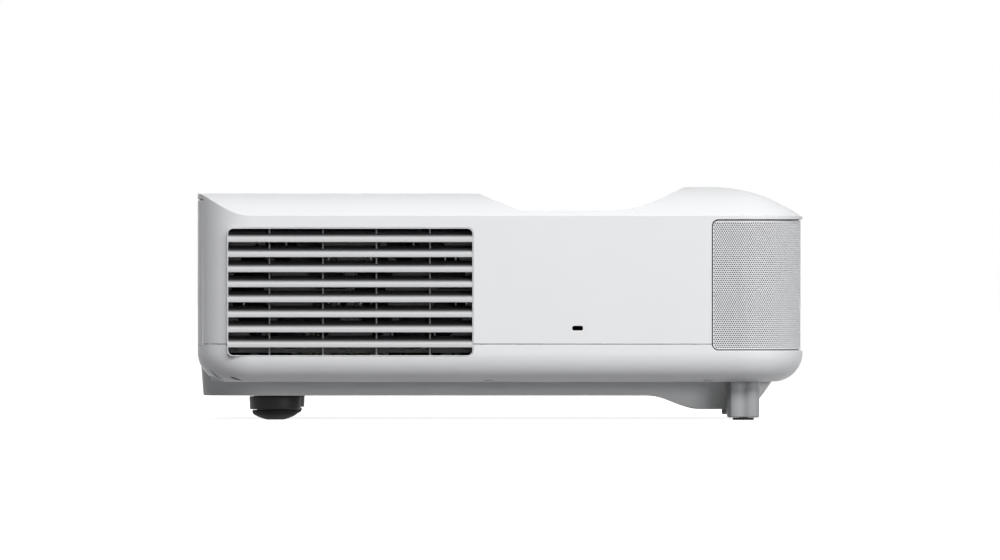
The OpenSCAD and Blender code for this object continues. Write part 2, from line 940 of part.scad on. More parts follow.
module grille_carrier() {
  color(dark)
    difference() {
      intersection() {
        plan_band(carrier_in, carrier_in + carrier_t, grille_low - 1, grille_top_z + 0.5);
        block([-half_w, -half_d, 0], [half_w, 3 - grille_back, case_h]);
      }
      for (s = [-1, 1])
        bar_y([s * speaker_x, -half_d, speaker_z], cone_r + seat, 20);
    }
}

module speaker_box(s) {
  front = carrier_in + carrier_t + seat - half_d;
  half = cone_r + box_rim;
  color(dark)
    translate([s * speaker_x, 0, speaker_z])
      difference() {
        block([-half, front, -half], [half, front + speaker_d, half]);
        block([wall - half, front + wall, wall - half],
          [half - wall, front + speaker_d - wall, half - wall]);
        bar_y([0, front - 1, 0], cone_r + seat, wall + 2);
      }
}

// Driver: rim, cone with its dust cap, and the magnet behind it
module speaker_cone(s) {
  front = carrier_in - half_d;
  color([0.2, 0.2, 0.21])
    translate([s * speaker_x, front, speaker_z])
      rotate([-90, 0, 0])
        difference() {
          union() {
            cylinder(r = cone_r, h = 5, $fn = smooth);
            translate([0, 0, 5])
              cylinder(r1 = cone_r, r2 = cone_r / 2, h = cone_r / 3, $fn = smooth);
            translate([0, 0, 5 + cone_r / 3])
              cylinder(r = cone_r / 2, h = 12, $fn = smooth);
          }
          translate([0, 0, -0.01])
            cylinder(r1 = cone_r - 4, r2 = cone_r / 3, h = cone_r / 3, $fn = smooth);
        }
}

// ---- Filter side ----

module filter_cover() {
  slot_step = (cover_h - 16) / cover_slots;
  color(white)
    difference() {
      union() {
        block([hinge_x, cover_near, hinge_z], [half_w, cover_far, cover_top]);
        bar_y([hinge_x, cover_near + ear_w, hinge_z], wall, cover_len - 2 * ear_w);
        bar_y([hinge_x, cover_near + 1, hinge_z], pin_r, cover_len - 2);
      }
      for (y = [cover_near - 1, cover_far - ear_w])
        difference() {
          block([hinge_x - 1, y, cover_z], [half_w + 1, y + ear_w + 1, hinge_z + wall + slide_gap]);
          bar_y([hinge_x, y - 1, hinge_z], pin_r, ear_w + 3);
        }
      for (i = [0:cover_slots - 1])
        block([hinge_x - 1, cover_near + 12, cover_z + 12 + i * slot_step],
          [half_w + 1, cover_far - 8, cover_z + 15 + i * slot_step]);
    }
}

module air_filter() {
  color([0.45, 0.46, 0.48])
    difference() {
      block([hinge_x - filter_t, filter_near, cover_z + 9], [hinge_x, cover_far - 5, cover_top - 5]);
      // Pleats, open towards the fan
      for (i = [0:9])
        block([hinge_x - filter_t - 1, filter_near + 4, cover_z + 13 + i * 5],
          [hinge_x - 2.5, cover_far - 9, cover_z + 15.5 + i * 5]);
    }
}

// Tray behind the filter, open towards the intake fan and slotted for the focus arm
module filter_frame() {
  color(dark)
    difference() {
      block([frame_x, cover_near - frame_out, cover_z - frame_out],
        [half_w - wall - seat, cover_far + frame_out, cover_top + 3]);
      block([frame_x + frame_wall, cover_near - frame_out + frame_wall, cover_z - frame_out + frame_wall],
        [half_w, cover_far + frame_out - frame_wall, cover_top + 3 - frame_wall]);
      bar_x([frame_x - 1, intake_y, fan_z + fan_size / 2], fan_bore / 2 - 2, 2 * frame_wall);
      block([frame_x - 1, arm_y - focus_travel - arm_w / 2 - 1, axis_z - arm_t],
        [frame_x + 2 * frame_wall, arm_y + focus_travel + arm_w / 2 + 1, axis_z + arm_t]);
    }
}

// ---- Buttons and small parts in the walls ----

module push_button(y) {
  color(white)
    union() {
      bar_x([half_w - wall - 2.5, y, button_z], button_r, wall + 2.5);
      bar_x([half_w - wall - slide_gap - 2, y, button_z], flange_r, 2);
    }
}

module indicator_window() {
  color(dark)
    block([half_w - wall - 1, indicator_y - indicator_len / 2, button_z - indicator_h / 2],
      [half_w, indicator_y + indicator_len / 2, button_z + indicator_h / 2]);
}

module security_plate() {
  color(metal)
    difference() {
      translate([wall + seat - half_w, -slot_y, slot_z])
        block([0, -12, -8], [2, 12, 8]);
      security_hole(-half_w, 3 * wall - half_w);
    }
}

module case_screws() {
  color(metal)
    for (at = screw_places)
      translate([at[0], at[1], roll_z + screw_head_h])
        union() {
          bar_z([0, 0, -2], screw_head_r, 2);
          bar_z([0, 0, -0.5], screw_r, seam_z + boss_h - 4 - roll_z - screw_head_h);
        }
}

// ---- Feet ----

// Two soft upright bulges with a flat web behind them
module front_post(s) {
  bulge_r = post_w / 4 + 0.6;
  color(grey)
    translate([s * post_x, -post_y, 0])
      difference() {
        union() {
          for (k = [-1, 1])
            bar_z([s * (post_t / 2 - bulge_r), k * (post_w / 2 - bulge_r), tip_h],
              bulge_r, roll_z - tip_h - seat);
          block([min(-s * post_t / 2, s), -post_w / 2, tip_h],
            [max(-s * post_t / 2, s), post_w / 2, roll_z - seat]);
        }
        bar_z([0, 0, tip_h - 1], tip_stub_r, 4);
      }
}

module front_tip(s) {
  color(dark)
    union() {
      bar_z([s * post_x, -post_y, 0], tip_r, tip_h - seat);
      bar_z([s * post_x, -post_y, tip_h - 0.2], tip_stub_r - seat, 3);
    }
}

module rear_knob(s) {
  top = belly_z - slide_gap;
  color(dark)
    translate([s * screw_foot_x, screw_foot_y, 0])
      difference() {
        union() {
          translate([0, 0, knob_z])
            cylinder(r1 = knob_r - 0.4, r2 = knob_r, h = top - knob_z, $fn = smooth);
          bar_z([0, 0, top - 1], stud_r, stud_top - top - 4);
        }
        bar_z([0, 0, knob_z - 1], pivot_r + running, pivot_h + 1 + slide_gap);
      }
}

// Rubber pad: upright rim, domed below and flattened where it stands
module rear_pad(s) {
  rim_z = 4.6;
  top = knob_z - slide_gap;
  dome = (pad_r * pad_r + rim_z * rim_z) / (2 * rim_z);
  color(dark)
    translate([s * screw_foot_x, screw_foot_y, 0])
      union() {
        intersection() {
          bar_z([0, 0, 0], pad_r, top);
          translate([0, 0, dome - 0.5])
            sphere(r = dome, $fn = smooth);
        }
        bar_z([0, 0, top - 1], pivot_r, pivot_h + slide_gap + 1);
      }
}

// ---- Fans, drawn with their axis up ----

module fan_frame() {
  color(dark)
    difference() {
      union() {
        difference() {
          block([-fan_size / 2, -fan_size / 2, 0], [fan_size / 2, fan_size / 2, fan_t]);
          bar_z([0, 0, -1], fan_bore / 2, fan_t + 2);
        }
        bar_z([0, 0, 0], hub_r - 1, 3);
        bar_z([0, 0, 0], shaft_r, fan_t - 4);
        for (i = [0:arm_count - 1])
          rotate([0, 0, i * 360 / arm_count + 30])
            block([0, -2, 0], [fan_size / 2 - 0.5, 2, 3]);
      }
      for (a = [0:90:270])
        rotate([0, 0, a])
          bar_z([fan_size / 2 - 4.25, fan_size / 2 - 4.25, -1], 2.2, fan_t + 2);
    }
}

module fan_rotor() {
  tip = fan_bore / 2 - 1;
  low = 4.5;
  color([0.22, 0.22, 0.23])
    difference() {
      union() {
        bar_z([0, 0, low], hub_r, fan_t - low - 1.5);
        intersection() {
          for (i = [0:blade_count - 1])
            rotate([0, 0, i * 360 / blade_count])
              translate([0, 0, (low + fan_t) / 2 - 1])
                rotate([blade_lean, 0, 0])
                  block([hub_r - 2, -12, -0.8], [fan_size, 12, 0.8]);
          bar_z([0, 0, low], tip, fan_t - low - 1.5);
        }
      }
      bar_z([0, 0, 0], shaft_r + running, fan_t - 4 + slide_gap);
    }
}

module at_exhaust(i) {
  translate([exhaust_x, exhaust_ys[i], fan_z + fan_size / 2])
    rotate([0, 90, 0])
      children();
}

module at_intake() {
  translate([intake_x, intake_y, fan_z + fan_size / 2])
    rotate([0, 90, 0])
      children();
}

// ---- Optics ----

module optical_base() {
  color(metal)
    difference() {
      union() {
        block([base_low[0], base_low[1], base_z], [base_high[0], base_high[1], base_z + base_t]);
        for (x = [base_low[0] + 8, base_high[0] - 8], y = [base_low[1] + 8, base_high[1] - 8])
          bar_z([x, y, floor_z], 6, base_z - floor_z + 1);
        // Saddles under the lens barrel
        for (y = [barrel_back - 14, 14 - barrel_front + carriage_w])
          block([-barrel_r + 4, y - 4, base_z], [barrel_r - 4, y + 4, axis_z - barrel_r / 2]);
        // Bracket of the phosphor wheel's motor
        block([wheel_x + 8, wheel_y - 14, base_z], [wheel_x + 12, wheel_y + 14, axis_z - motor_r - 1]);
        block([wheel_x + 8, wheel_y - 5, base_z], [wheel_x + 18, wheel_y + 5, axis_z - motor_r - seat]);
        // Table under the prism
        block([-prism_a / 2, prism_y - prism_a / 2, base_z],
          [prism_a / 2, prism_y + prism_a / 2, axis_z - prism_a / 2]);
      }
      bar_y([0, -barrel_front, axis_z], barrel_r + seat, barrel_len + seat);
    }
}

module laser_module() {
  low = [base_low[0] + 2, wheel_y - laser_half, base_z + base_t];
  high = [wheel_x - 24, wheel_y + laser_half, axis_z + laser_half];
  color(metal)
    union() {
      block(low, high);
      bar_x([high[0] - 1, wheel_y, axis_z], 14, 12);
    }
}

module phosphor_wheel() {
  color([0.9, 0.85, 0.4])
    difference() {
      union() {
        bar_x([wheel_x, wheel_y, axis_z], wheel_d / 2, 1.2);
        bar_x([wheel_x - 3, wheel_y, axis_z], 8, 6);
      }
      bar_x([wheel_x - 2, wheel_y, axis_z], shaft_r + running, 8);
    }
}

module wheel_motor() {
  color(dark)
    union() {
      bar_x([wheel_x + 4, wheel_y, axis_z], motor_r, 14);
      bar_x([wheel_x - 1, wheel_y, axis_z], shaft_r, 6);
    }
}

// Colour-splitting plates that stand at 45 degrees in the light path
module dichroic_mirrors() {
  color([0.6, 0.7, 0.85])
    for (at = [[-42, prism_y, 45], [42, prism_y, -45], [4, wheel_y + 4, -45]])
      translate([at[0], at[1], base_z + base_t])
        rotate([0, 0, at[2]])
          block([-14, -0.8, 0], [14, 0.8, axis_z + 20 - base_z - base_t]);
}

module relay_lenses() {
  color([0.8, 0.85, 0.9])
    for (at = [[-18, wheel_y], [30, wheel_y]])
      union() {
        bar_x([at[0], at[1], axis_z], 17, 4);
        block([at[0], at[1] - 8, base_z + base_t], [at[0] + 4, at[1] + 8, axis_z - 10]);
      }
}

// Three image panels around the prism
module image_panels() {
  near = prism_a / 2 + 1;
  color(dark)
    union() {
      for (s = [-1, 1])
        block([s * (near + 2) - 2, prism_y - prism_a / 2, base_z + base_t],
          [s * (near + 2) + 2, prism_y + prism_a / 2, axis_z + 18]);
      block([-prism_a / 2, prism_y + near, base_z + base_t], [prism_a / 2, prism_y + near + 4, axis_z + 18]);
    }
}

module cross_prism() {
  color([0.85, 0.88, 0.95])
    block([-prism_a / 2, prism_y - prism_a / 2, axis_z - prism_a / 2 + seat],
      [prism_a / 2, prism_y + prism_a / 2, axis_z + prism_a / 2]);
}

module lens_barrel() {
  color(dark)
    difference() {
      union() {
        bar_y([0, -barrel_front, axis_z], barrel_r, barrel_len);
      }
      bar_y([0, -barrel_front - 1, axis_z], barrel_r - barrel_t, barrel_len - 5);
      bar_y([0, -barrel_front - 1, axis_z], 12, barrel_len + 2);
      block([0, arm_y - focus_travel - arm_w / 2 - slide_gap, axis_z - arm_t / 2 - slide_gap],
        [barrel_r + 1, arm_y + focus_travel + arm_w / 2 + slide_gap, axis_z + arm_t / 2 + slide_gap]);
    }
}

module front_lens() {
  color([0.3, 0.32, 0.38])
    union() {
      bar_y([0, arm_y + 14, axis_z], barrel_r - barrel_t - seat, 7);
      bar_y([0, barrel_back - 16, axis_z], barrel_r - barrel_t - seat, 6);
    }
}

// Ring that carries the focusing lens, with the long arm to the side of the case
module focus_carriage() {
  ring_r = barrel_r - barrel_t - running;
  color(metal)
    difference() {
      union() {
        bar_y([0, arm_y - carriage_w / 2, axis_z], ring_r, carriage_w);
        block([ring_r - 3, arm_y - arm_w / 2, axis_z - arm_t / 2],
          [half_w - wall - 10, arm_y + arm_w / 2, axis_z + arm_t / 2]);
      }
      bar_y([0, arm_y - carriage_w, axis_z], ring_r - 4, 2 * carriage_w);
    }
}

module focus_lens() {
  color([0.3, 0.32, 0.38])
    bar_y([0, arm_y - 2, axis_z], barrel_r - barrel_t - running - 4 - seat, 5);
}

module focus_tab() {
  color(dark)
    block([half_w - wall - 10 + seat, arm_y - arm_w / 2, axis_z - 6],
      [half_w - wall - 4, arm_y + arm_w / 2, axis_z + 6]);
}

module at_mirror() {
  translate([0, -mirror_y, axis_z + 6])
    rotate([mirror_lean, 0, 0])
      children();
}

module concave_mirror() {
  color([0.85, 0.87, 0.9])
    at_mirror()
      difference() {
        block([-mirror_w / 2, 0, -mirror_h / 2], [mirror_w / 2, 16, mirror_h / 2]);
        translate([0, mirror_r + 3, 0])
          sphere(r = mirror_r, $fn = 6 * smooth);
      }
}

module mirror_holder() {
  t = 3;
  color(dark)
    union() {
      at_mirror()
        block([-mirror_w / 2 + 4, -t - seat, -mirror_h / 2 - t],
          [mirror_w / 2 - 4, -seat, mirror_h / 2 - 4]);
      for (s = [-1, 1])
        translate([s * mirror_w / 3, -mirror_y, 0]) {
          block([-6, 8, bump_z + wall + seat], [6, 20, roll_z + 5]);
          block([-6, 2, roll_z], [6, 20, mirror_low - seat]);
        }
    }
}

// ---- Cooling of the laser ----

// Fins that stand along the air's way, on one base plate with four legs
module laser_heat_sink() {
  fin_count = floor((sink_high[1] - sink_low[1] - fin_t) / fin_pitch);
  color(metal)
    union() {
      block(sink_low, [sink_high[0], sink_high[1], sink_low[2] + sink_base_t]);
      for (i = [0:fin_count])
        translate([0, sink_low[1] + i * fin_pitch, 0])
          block([sink_low[0], 0, sink_low[2] + 1], [sink_high[0], fin_t, sink_high[2]]);
      for (x = [sink_low[0] + 20, sink_high[0] - 6], y = [sink_low[1] + 6, sink_high[1] - 40])
        bar_z([x, y, floor_z], 4, sink_low[2] - floor_z + 1);
    }
}

module heat_pipes() {
  riser_x = base_low[0] - 2;
  low = sink_low[2] - pipe_r - seat;
  color([0.72, 0.45, 0.3])
    for (k = [-1:1])
      translate([riser_x, wheel_y + k * 16, 0])
        union() {
          bar_x([10 + sink_low[0] - riser_x, 0, low], pipe_r, riser_x - sink_low[0] - 10);
          bar_z([0, 0, low], pipe_r, axis_z - sink_low[2]);
          bar_x([0, 0, axis_z - 2 * pipe_r], pipe_r, base_low[0] + 2 - seat - riser_x);
        }
}

// ---- Boards and sockets ----

// Upright board behind the rear panel, with its processor's heat spreader
module main_board() {
  color([0.1, 0.35, 0.2])
    union() {
      block([0, board_y - board_t, seam_z - 18], [panel_half_w - 46, board_y, panel_top_z - 4]);
      block([40, board_y - board_t - 8, 90], [80, board_y - board_t / 2, 124]);
      for (x = [20, 140])
        block([x, board_y - board_t - 3, floor_z], [x + 10, board_y - board_t / 2, seam_z - 12]);
    }
}

module power_board() {
  color([0.1, 0.35, 0.2])
    union() {
      block(supply_low, [supply_high[0], supply_high[1], supply_low[2] + board_t]);
      for (x = [supply_low[0] + 6, supply_high[0] - 4], y = [supply_low[1] + 6, supply_high[1] - 6])
        bar_z([x, y, floor_z], 3, supply_low[2] - floor_z + 0.5);
    }
}

// Transformer, coil and capacitors of the power board
module power_parts() {
  z = supply_low[2] + board_t;
  color([0.2, 0.2, 0.24])
    union() {
      translate([supply_low[0] + 8, supply_low[1] + 10, z])
        block([0, 0, 0], transformer);
      for (i = [0:3])
        bar_z([supply_low[0] + 60 + i % 2 * can_pitch[0], supply_low[1] + 22 + floor(i / 2) * can_pitch[1], z],
          can_r, can_h);
      translate([supply_low[0] + 10, supply_high[1] - 8 - coil[1], z])
        block([0, 0, 0], coil);
    }
}

// Mains inlet of the three-pin appliance size
module ac_inlet() {
  color(dark)
    difference() {
      block([inlet_x - inlet_w / 2 - 2, half_d - inlet_d - 3, socket_z - inlet_h / 2 - 2],
        [inlet_x + inlet_w / 2 + 2, half_d - seat, socket_z + inlet_h / 2 + 2]);
      difference() {
        block([inlet_x - inlet_w / 2, half_d - inlet_d, socket_z - inlet_h / 2],
          [inlet_x + inlet_w / 2, half_d + 1, socket_z + inlet_h / 2]);
        for (pin = [[-7, -1], [0, 1], [7, -1]])
          block([inlet_x + pin[0] - 1, half_d - inlet_d - 1, socket_z + pin[1] - 2],
            [inlet_x + pin[0] + 1, half_d - 2, socket_z + pin[1] + 2]);
      }
    }
}

// A socket on the main board: an open shell with its contact tongue
module board_socket(x, w, h, rim, tongue) {
  depth = socket_d - 5;
  translate([x, 0, socket_z])
    difference() {
      block([-w / 2 - rim, board_y, -h / 2 - rim], [w / 2 + rim, half_d - seat, h / 2 + rim]);
      difference() {
        block([-w / 2, half_d - depth, -h / 2], [w / 2, half_d + 1, h / 2]);
        block([2 - w / 2, half_d - depth - 1, -tongue / 2], [w / 2 - 2, half_d - 2, tongue / 2]);
      }
    }
}

module hdmi_ports() {
  color(dark)
    for (x = hdmi_xs)
      board_socket(x, hdmi_w, hdmi_h - 1, 1, 1.2);
}

module usb_ports() {
  color(metal)
    for (x = usb_xs)
      board_socket(x, usb_w - 1.6, usb_h - 1.6, 0.8, 1.6);
}

module audio_ports() {
  color(dark)
    for (x = jack_xs)
      difference() {
        block([x - jack_w / 2, board_y, socket_z - jack_h / 2],
          [x + jack_w / 2, half_d - seat, socket_z + jack_h / 2]);
        bar_y([x, half_d - 15, socket_z], jack_r, 20);
      }
}

upper_case();
lower_case();
base_pan();
rear_panel();
window_frame();
window_glass();
exhaust_grille();
speaker_grille();
grille_carrier();
filter_cover();
air_filter();
filter_frame();
push_button(button_y);  // power_button
push_button(button_y - button_pitch);  // source_button
indicator_window();
security_plate();
front_post(-1);  // front_post_left
front_post(1);  // front_post_right
front_tip(-1);  // front_tip_left
front_tip(1);  // front_tip_right
rear_knob(-1);  // rear_knob_left
rear_knob(1);  // rear_knob_right
rear_pad(-1);  // rear_pad_left
rear_pad(1);  // rear_pad_right
case_screws();
panel_screws();
optical_base();
laser_module();
phosphor_wheel();
wheel_motor();
dichroic_mirrors();
relay_lenses();
image_panels();
cross_prism();
lens_barrel();
front_lens();
focus_carriage();
focus_lens();
focus_tab();
concave_mirror();
mirror_holder();
laser_heat_sink();
heat_pipes();
at_exhaust(0) fan_frame();  // exhaust_fan_rear
at_exhaust(0) fan_rotor();  // exhaust_rotor_rear
at_exhaust(1) fan_frame();  // exhaust_fan_front
at_exhaust(1) fan_rotor();  // exhaust_rotor_front
at_intake() fan_frame();  // intake_fan
at_intake() fan_rotor();  // intake_rotor
main_board();
power_board();
power_parts();
ac_inlet();
hdmi_ports();
usb_ports();
audio_ports();
speaker_box(-1);  // speaker_box_left
speaker_box(1);  // speaker_box_right
speaker_cone(-1);  // speaker_cone_left
speaker_cone(1);  // speaker_cone_right
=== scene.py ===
"""A home projector that stands below its screen, dressed over its CAD frame.

The sections follow the object as it is put together: casings, louvre, grille, window, filter side,
feet, and then the optics, cooling, boards and speakers inside. All lengths are in metres.
"""
import math

import bmesh
import bpy
import numpy as np
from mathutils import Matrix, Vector
from mathutils.bvhtree import BVHTree


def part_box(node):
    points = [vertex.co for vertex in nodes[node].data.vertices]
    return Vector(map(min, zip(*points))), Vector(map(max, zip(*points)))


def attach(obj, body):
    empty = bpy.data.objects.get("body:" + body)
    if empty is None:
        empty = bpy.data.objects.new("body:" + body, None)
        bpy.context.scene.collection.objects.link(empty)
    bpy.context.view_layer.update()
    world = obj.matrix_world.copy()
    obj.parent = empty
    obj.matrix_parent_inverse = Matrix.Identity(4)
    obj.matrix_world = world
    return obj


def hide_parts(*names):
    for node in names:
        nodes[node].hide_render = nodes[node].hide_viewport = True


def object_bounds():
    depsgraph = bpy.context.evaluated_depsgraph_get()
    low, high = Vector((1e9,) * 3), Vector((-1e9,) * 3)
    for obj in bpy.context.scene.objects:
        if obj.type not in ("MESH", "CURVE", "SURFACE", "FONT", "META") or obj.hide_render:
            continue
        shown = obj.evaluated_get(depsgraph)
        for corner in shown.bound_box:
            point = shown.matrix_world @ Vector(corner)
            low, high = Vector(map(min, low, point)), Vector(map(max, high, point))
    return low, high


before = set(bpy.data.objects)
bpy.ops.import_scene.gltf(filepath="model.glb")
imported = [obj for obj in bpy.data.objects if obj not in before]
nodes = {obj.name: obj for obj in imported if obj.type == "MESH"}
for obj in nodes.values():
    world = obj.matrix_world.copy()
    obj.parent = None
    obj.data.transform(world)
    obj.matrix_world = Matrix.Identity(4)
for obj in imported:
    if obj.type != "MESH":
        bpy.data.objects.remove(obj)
cad_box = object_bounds()

# ---- Camera ------------------------------------------
# The case is seen square on from its louvre side with a long lens, level with its middle, so that
# the side wall fills two thirds of the picture's width.
low, high = cad_box
seen_width, eye_y, eye_z = 0.6595, 0.0002, 0.0925
lens = bpy.data.cameras.new("camera")
lens.lens, lens.sensor_width = 900, 36
camera = bpy.data.objects.new("camera", lens)
camera.location = (low.x - seen_width * lens.lens / lens.sensor_width, eye_y, eye_z)
camera.rotation_euler = (math.radians(90), 0, math.radians(-90))
lens.clip_start, lens.clip_end = 0.1, 90
bpy.context.scene.collection.objects.link(camera)
bpy.context.scene.camera = camera


# ---- Studio ------------------------------------------
# A pale floor that runs out to a white surrounding, one broad soft box in front of the louvre side
# and above it, weaker ones over the top, by the front and beyond the far side, and faint light from
# all round.
class Term:
    """A value in a material. Arithmetic on it adds Math nodes to the same material."""

    def __init__(self, finish, socket):
        self.finish, self.socket = finish, socket

    def math(self, operation, other, swapped=False):
        pair = (other, self) if swapped else (self, other)
        return self.finish.node("ShaderNodeMath", {"operation": operation}, {0: pair[0], 1: pair[1]})

    def __add__(self, other):
        return self.math("ADD", other)

    def __sub__(self, other):
        return self.math("SUBTRACT", other)

    def __rsub__(self, other):
        return self.math("SUBTRACT", other, swapped=True)

    def __mul__(self, other):
        return self.math("MULTIPLY", other)

    def __lt__(self, other):
        return self.math("LESS_THAN", other)

    def __gt__(self, other):
        return self.math("GREATER_THAN", other)

    __radd__, __rmul__ = __add__, __mul__


class Finish:
    """A material with its Principled shader and the surface's own place as its pattern space."""

    def __init__(self, name, **sockets):
        self.material = bpy.data.materials.new(name)
        self.material.use_nodes = True
        self.tree = self.material.node_tree
        self.shader = self.tree.nodes["Principled BSDF"]
        self.place = self.node("ShaderNodeTexCoord", out="Object")
        self.set(**sockets)

    def node(self, kind, settings={}, inputs={}, out=0):
        """Adds a node: its settings first, then the values or links of its inputs."""
        made = self.tree.nodes.new(kind)
        for name, value in settings.items():
            setattr(made, name, value)
        for key, value in inputs.items():
            self.feed(made.inputs[key], value)
        return Term(self, made.outputs[out])

    def feed(self, socket, value):
        if isinstance(value, Term):
            self.tree.links.new(value.socket, socket)
        elif hasattr(socket.default_value, "__len__") and len(socket.default_value) == 4:
            socket.default_value = (*value[:3], 1)
        else:
            socket.default_value = value

    def set(self, **sockets):
        for name, value in sockets.items():
            self.feed(self.shader.inputs[name.replace("_", " ")], value)

    def noise(self, scale, detail=2.0, place=None):
        """Soft noise from 0 to 1, scale cells to the metre."""
        return self.node("ShaderNodeTexNoise", {}, {"Vector": place or self.place, "Scale": scale,
                                                    "Detail": detail})

    def blend(self, share, first, second):
        """A colour between two colours."""
        return self.node("ShaderNodeMix", {"data_type": "RGBA"}, {0: share, 6: first, 7: second}, out=2)

    def bump(self, height, distance, strength=1.0):
        """Feeds a height, in units of distance, to the shader's normal."""
        lifted = self.node("ShaderNodeBump", {}, {"Height": height, "Distance": distance,
                                                  "Strength": strength})
        self.feed(self.shader.inputs["Normal"], lifted)


def surface(name, points, faces, finish, smooth=True):
    """An object at the origin from a whole array of points and an array or list of faces."""
    mesh = bpy.data.meshes.new(name)
    mesh.from_pydata(np.asarray(points, float).reshape(-1, 3).tolist(), [], [list(f) for f in faces])
    mesh.polygons.foreach_set("use_smooth", np.full(len(mesh.polygons), smooth))
    mesh.materials.append(finish.material)
    made = bpy.data.objects.new(name, mesh)
    bpy.context.scene.collection.objects.link(made)
    return made


def joined(made, turn=35):
    """Closes the seams of a new mesh, turns its faces outwards and keeps its keen edges keen."""
    form = bmesh.new()
    form.from_mesh(made.data)
    bmesh.ops.remove_doubles(form, verts=form.verts, dist=1e-6)
    bmesh.ops.recalc_face_normals(form, faces=form.faces)
    for edge in form.edges:
        edge.smooth = not (edge.is_manifold and edge.calc_face_angle(0) > math.radians(turn))
    form.to_mesh(made.data)
    form.free()
    return made


def grid_faces(rows, columns, close=False, first=0):
    """Quads between neighbouring rows and columns of a grid of points; close joins the last column to
    the first."""
    wide = columns if close else columns - 1
    r, c = np.meshgrid(np.arange(rows - 1), np.arange(wide), indexing="ij")
    r, c, n = r.ravel(), c.ravel(), (c.ravel() + 1) % columns
    return first + np.stack([r * columns + c, r * columns + n, (r + 1) * columns + n,
                             (r + 1) * columns + c], 1)


def flat_floor(reach, rings=24, steps=64):
    """A round floor: circles whose radius grows with the square of their number, closed in the middle."""
    radius = reach * (np.arange(1, rings + 1) / rings) ** 2
    turn = np.arange(steps) * 2 * math.pi / steps
    points = np.stack([radius[:, None] * np.cos(turn), radius[:, None] * np.sin(turn),
                       np.zeros((rings, steps))], -1).reshape(-1, 3)
    return points, grid_faces(rings, steps, close=True)[:, ::-1].tolist() + [list(range(steps))]


paper = Finish("studio_paper", Roughness=0.9, Specular_IOR_Level=0.1)
ray_names = ("Is Camera Ray", "Is Glossy Ray", "Is Transmission Ray")
seen, mirrored, refracted = [paper.node("ShaderNodeLightPath", out=name) for name in ray_names]
shown = (seen + mirrored + refracted).math("MINIMUM", 1.0)
away = paper.node("ShaderNodeVectorMath", {"operation": "LENGTH"}, {0: paper.place}, out="Value")
away = paper.node("ShaderNodeMapRange", {}, {"Value": away, "From Min": 0.5, "From Max": 1.3,
                                             "To Min": 0.84, "To Max": 1.0})
paper.set(Base_Color=paper.blend(shown, (0.20, 0.20, 0.204), (0.90, 0.90, 0.90)))
paper.set(Emission_Color=paper.blend(shown * away, (0, 0, 0), (1, 1, 1)), Emission_Strength=1.0)
floor = surface("studio_floor", *flat_floor(60.0), paper)

world = bpy.data.worlds.new("studio_air")
world.use_nodes = True
bpy.context.scene.world = world
air = world.node_tree
path = air.nodes.new("ShaderNodeLightPath")
direct = path.outputs[ray_names[0]]
for name in ray_names[1:]:
    either = air.nodes.new("ShaderNodeMath")
    either.operation = "MAXIMUM"
    air.links.new(direct, either.inputs[0])
    air.links.new(path.outputs[name], either.inputs[1])
    direct = either.outputs[0]
level = air.nodes.new("ShaderNodeMix")
level.data_type = "RGBA"
level.inputs[6].default_value = (0.075, 0.077, 0.080, 1)
level.inputs[7].default_value = (1, 1, 1, 1)
air.links.new(direct, level.inputs[0])
air.links.new(level.outputs[2], air.nodes["Background"].inputs["Color"])


def soft_box(name, at, aim, width, height, power):
    """An area lamp at a place, turned to its aim."""
    lamp = bpy.data.lights.new(name, "AREA")
    lamp.shape, lamp.size, lamp.size_y, lamp.energy = "RECTANGLE", width, height, power
    made = bpy.data.objects.new(name, lamp)
    made.location = at
    made.rotation_mode = "QUATERNION"
    made.rotation_quaternion = (Vector(at) - Vector(aim)).to_track_quat("Z", "Y")
    bpy.context.scene.collection.objects.link(made)


soft_box("key_light", (-3.4, -0.6, 2.7), (0, 0, 0.08), 3.0, 1.1, 145)
soft_box("top_light", (-0.8, 0.3, 3.3), (0, 0, 0.1), 2.6, 2.6, 14)
soft_box("fill_light", (-3.1, -2.9, 0.65), (0, 0, 0.08), 2.0, 0.8, 46)
soft_box("far_side_light", (3.3, 0.5, 0.50), (0, 0, 0.08), 2.2, 0.7, 16)
bpy.context.scene.view_settings.view_transform = "Standard"


# ---- Upper case --------------------------------------
# One large moulding in matt white plastic: the side walls, the flat rear part, the valley with the
# window, and the hump over the mirror. Its outer skin is finely textured by the mould, its edges are
# a little rounded, and it is screwed to the lower case from below.
def moulded(name, colour, roughness, grain=0.035, mottle=0.012):
    """Finely spark-textured plastic: a faint grain in height, and a slow drift in colour and gloss."""
    made = Finish(name, IOR=1.46)
    drift = made.noise(14.0, 3.0)
    grit = made.noise(2600.0, 1.0)
    dark = tuple(c * (1 - 2.2 * mottle) for c in colour)
    light = tuple(min(1, c * (1 + mottle)) for c in colour)
    made.colour = made.blend(drift * 0.75 + grit * 0.25, dark, light)
    made.set(Base_Color=made.colour, Roughness=roughness - 0.04 + drift * 0.05 + grit * 0.03)
    made.bump(grit, 0.0001, grain * 4)
    return made


def fitted(made, node, body="case"):
    """Puts a new piece in a CAD node's place, hiding the node, on its body."""
    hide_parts(node)
    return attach(made, body)


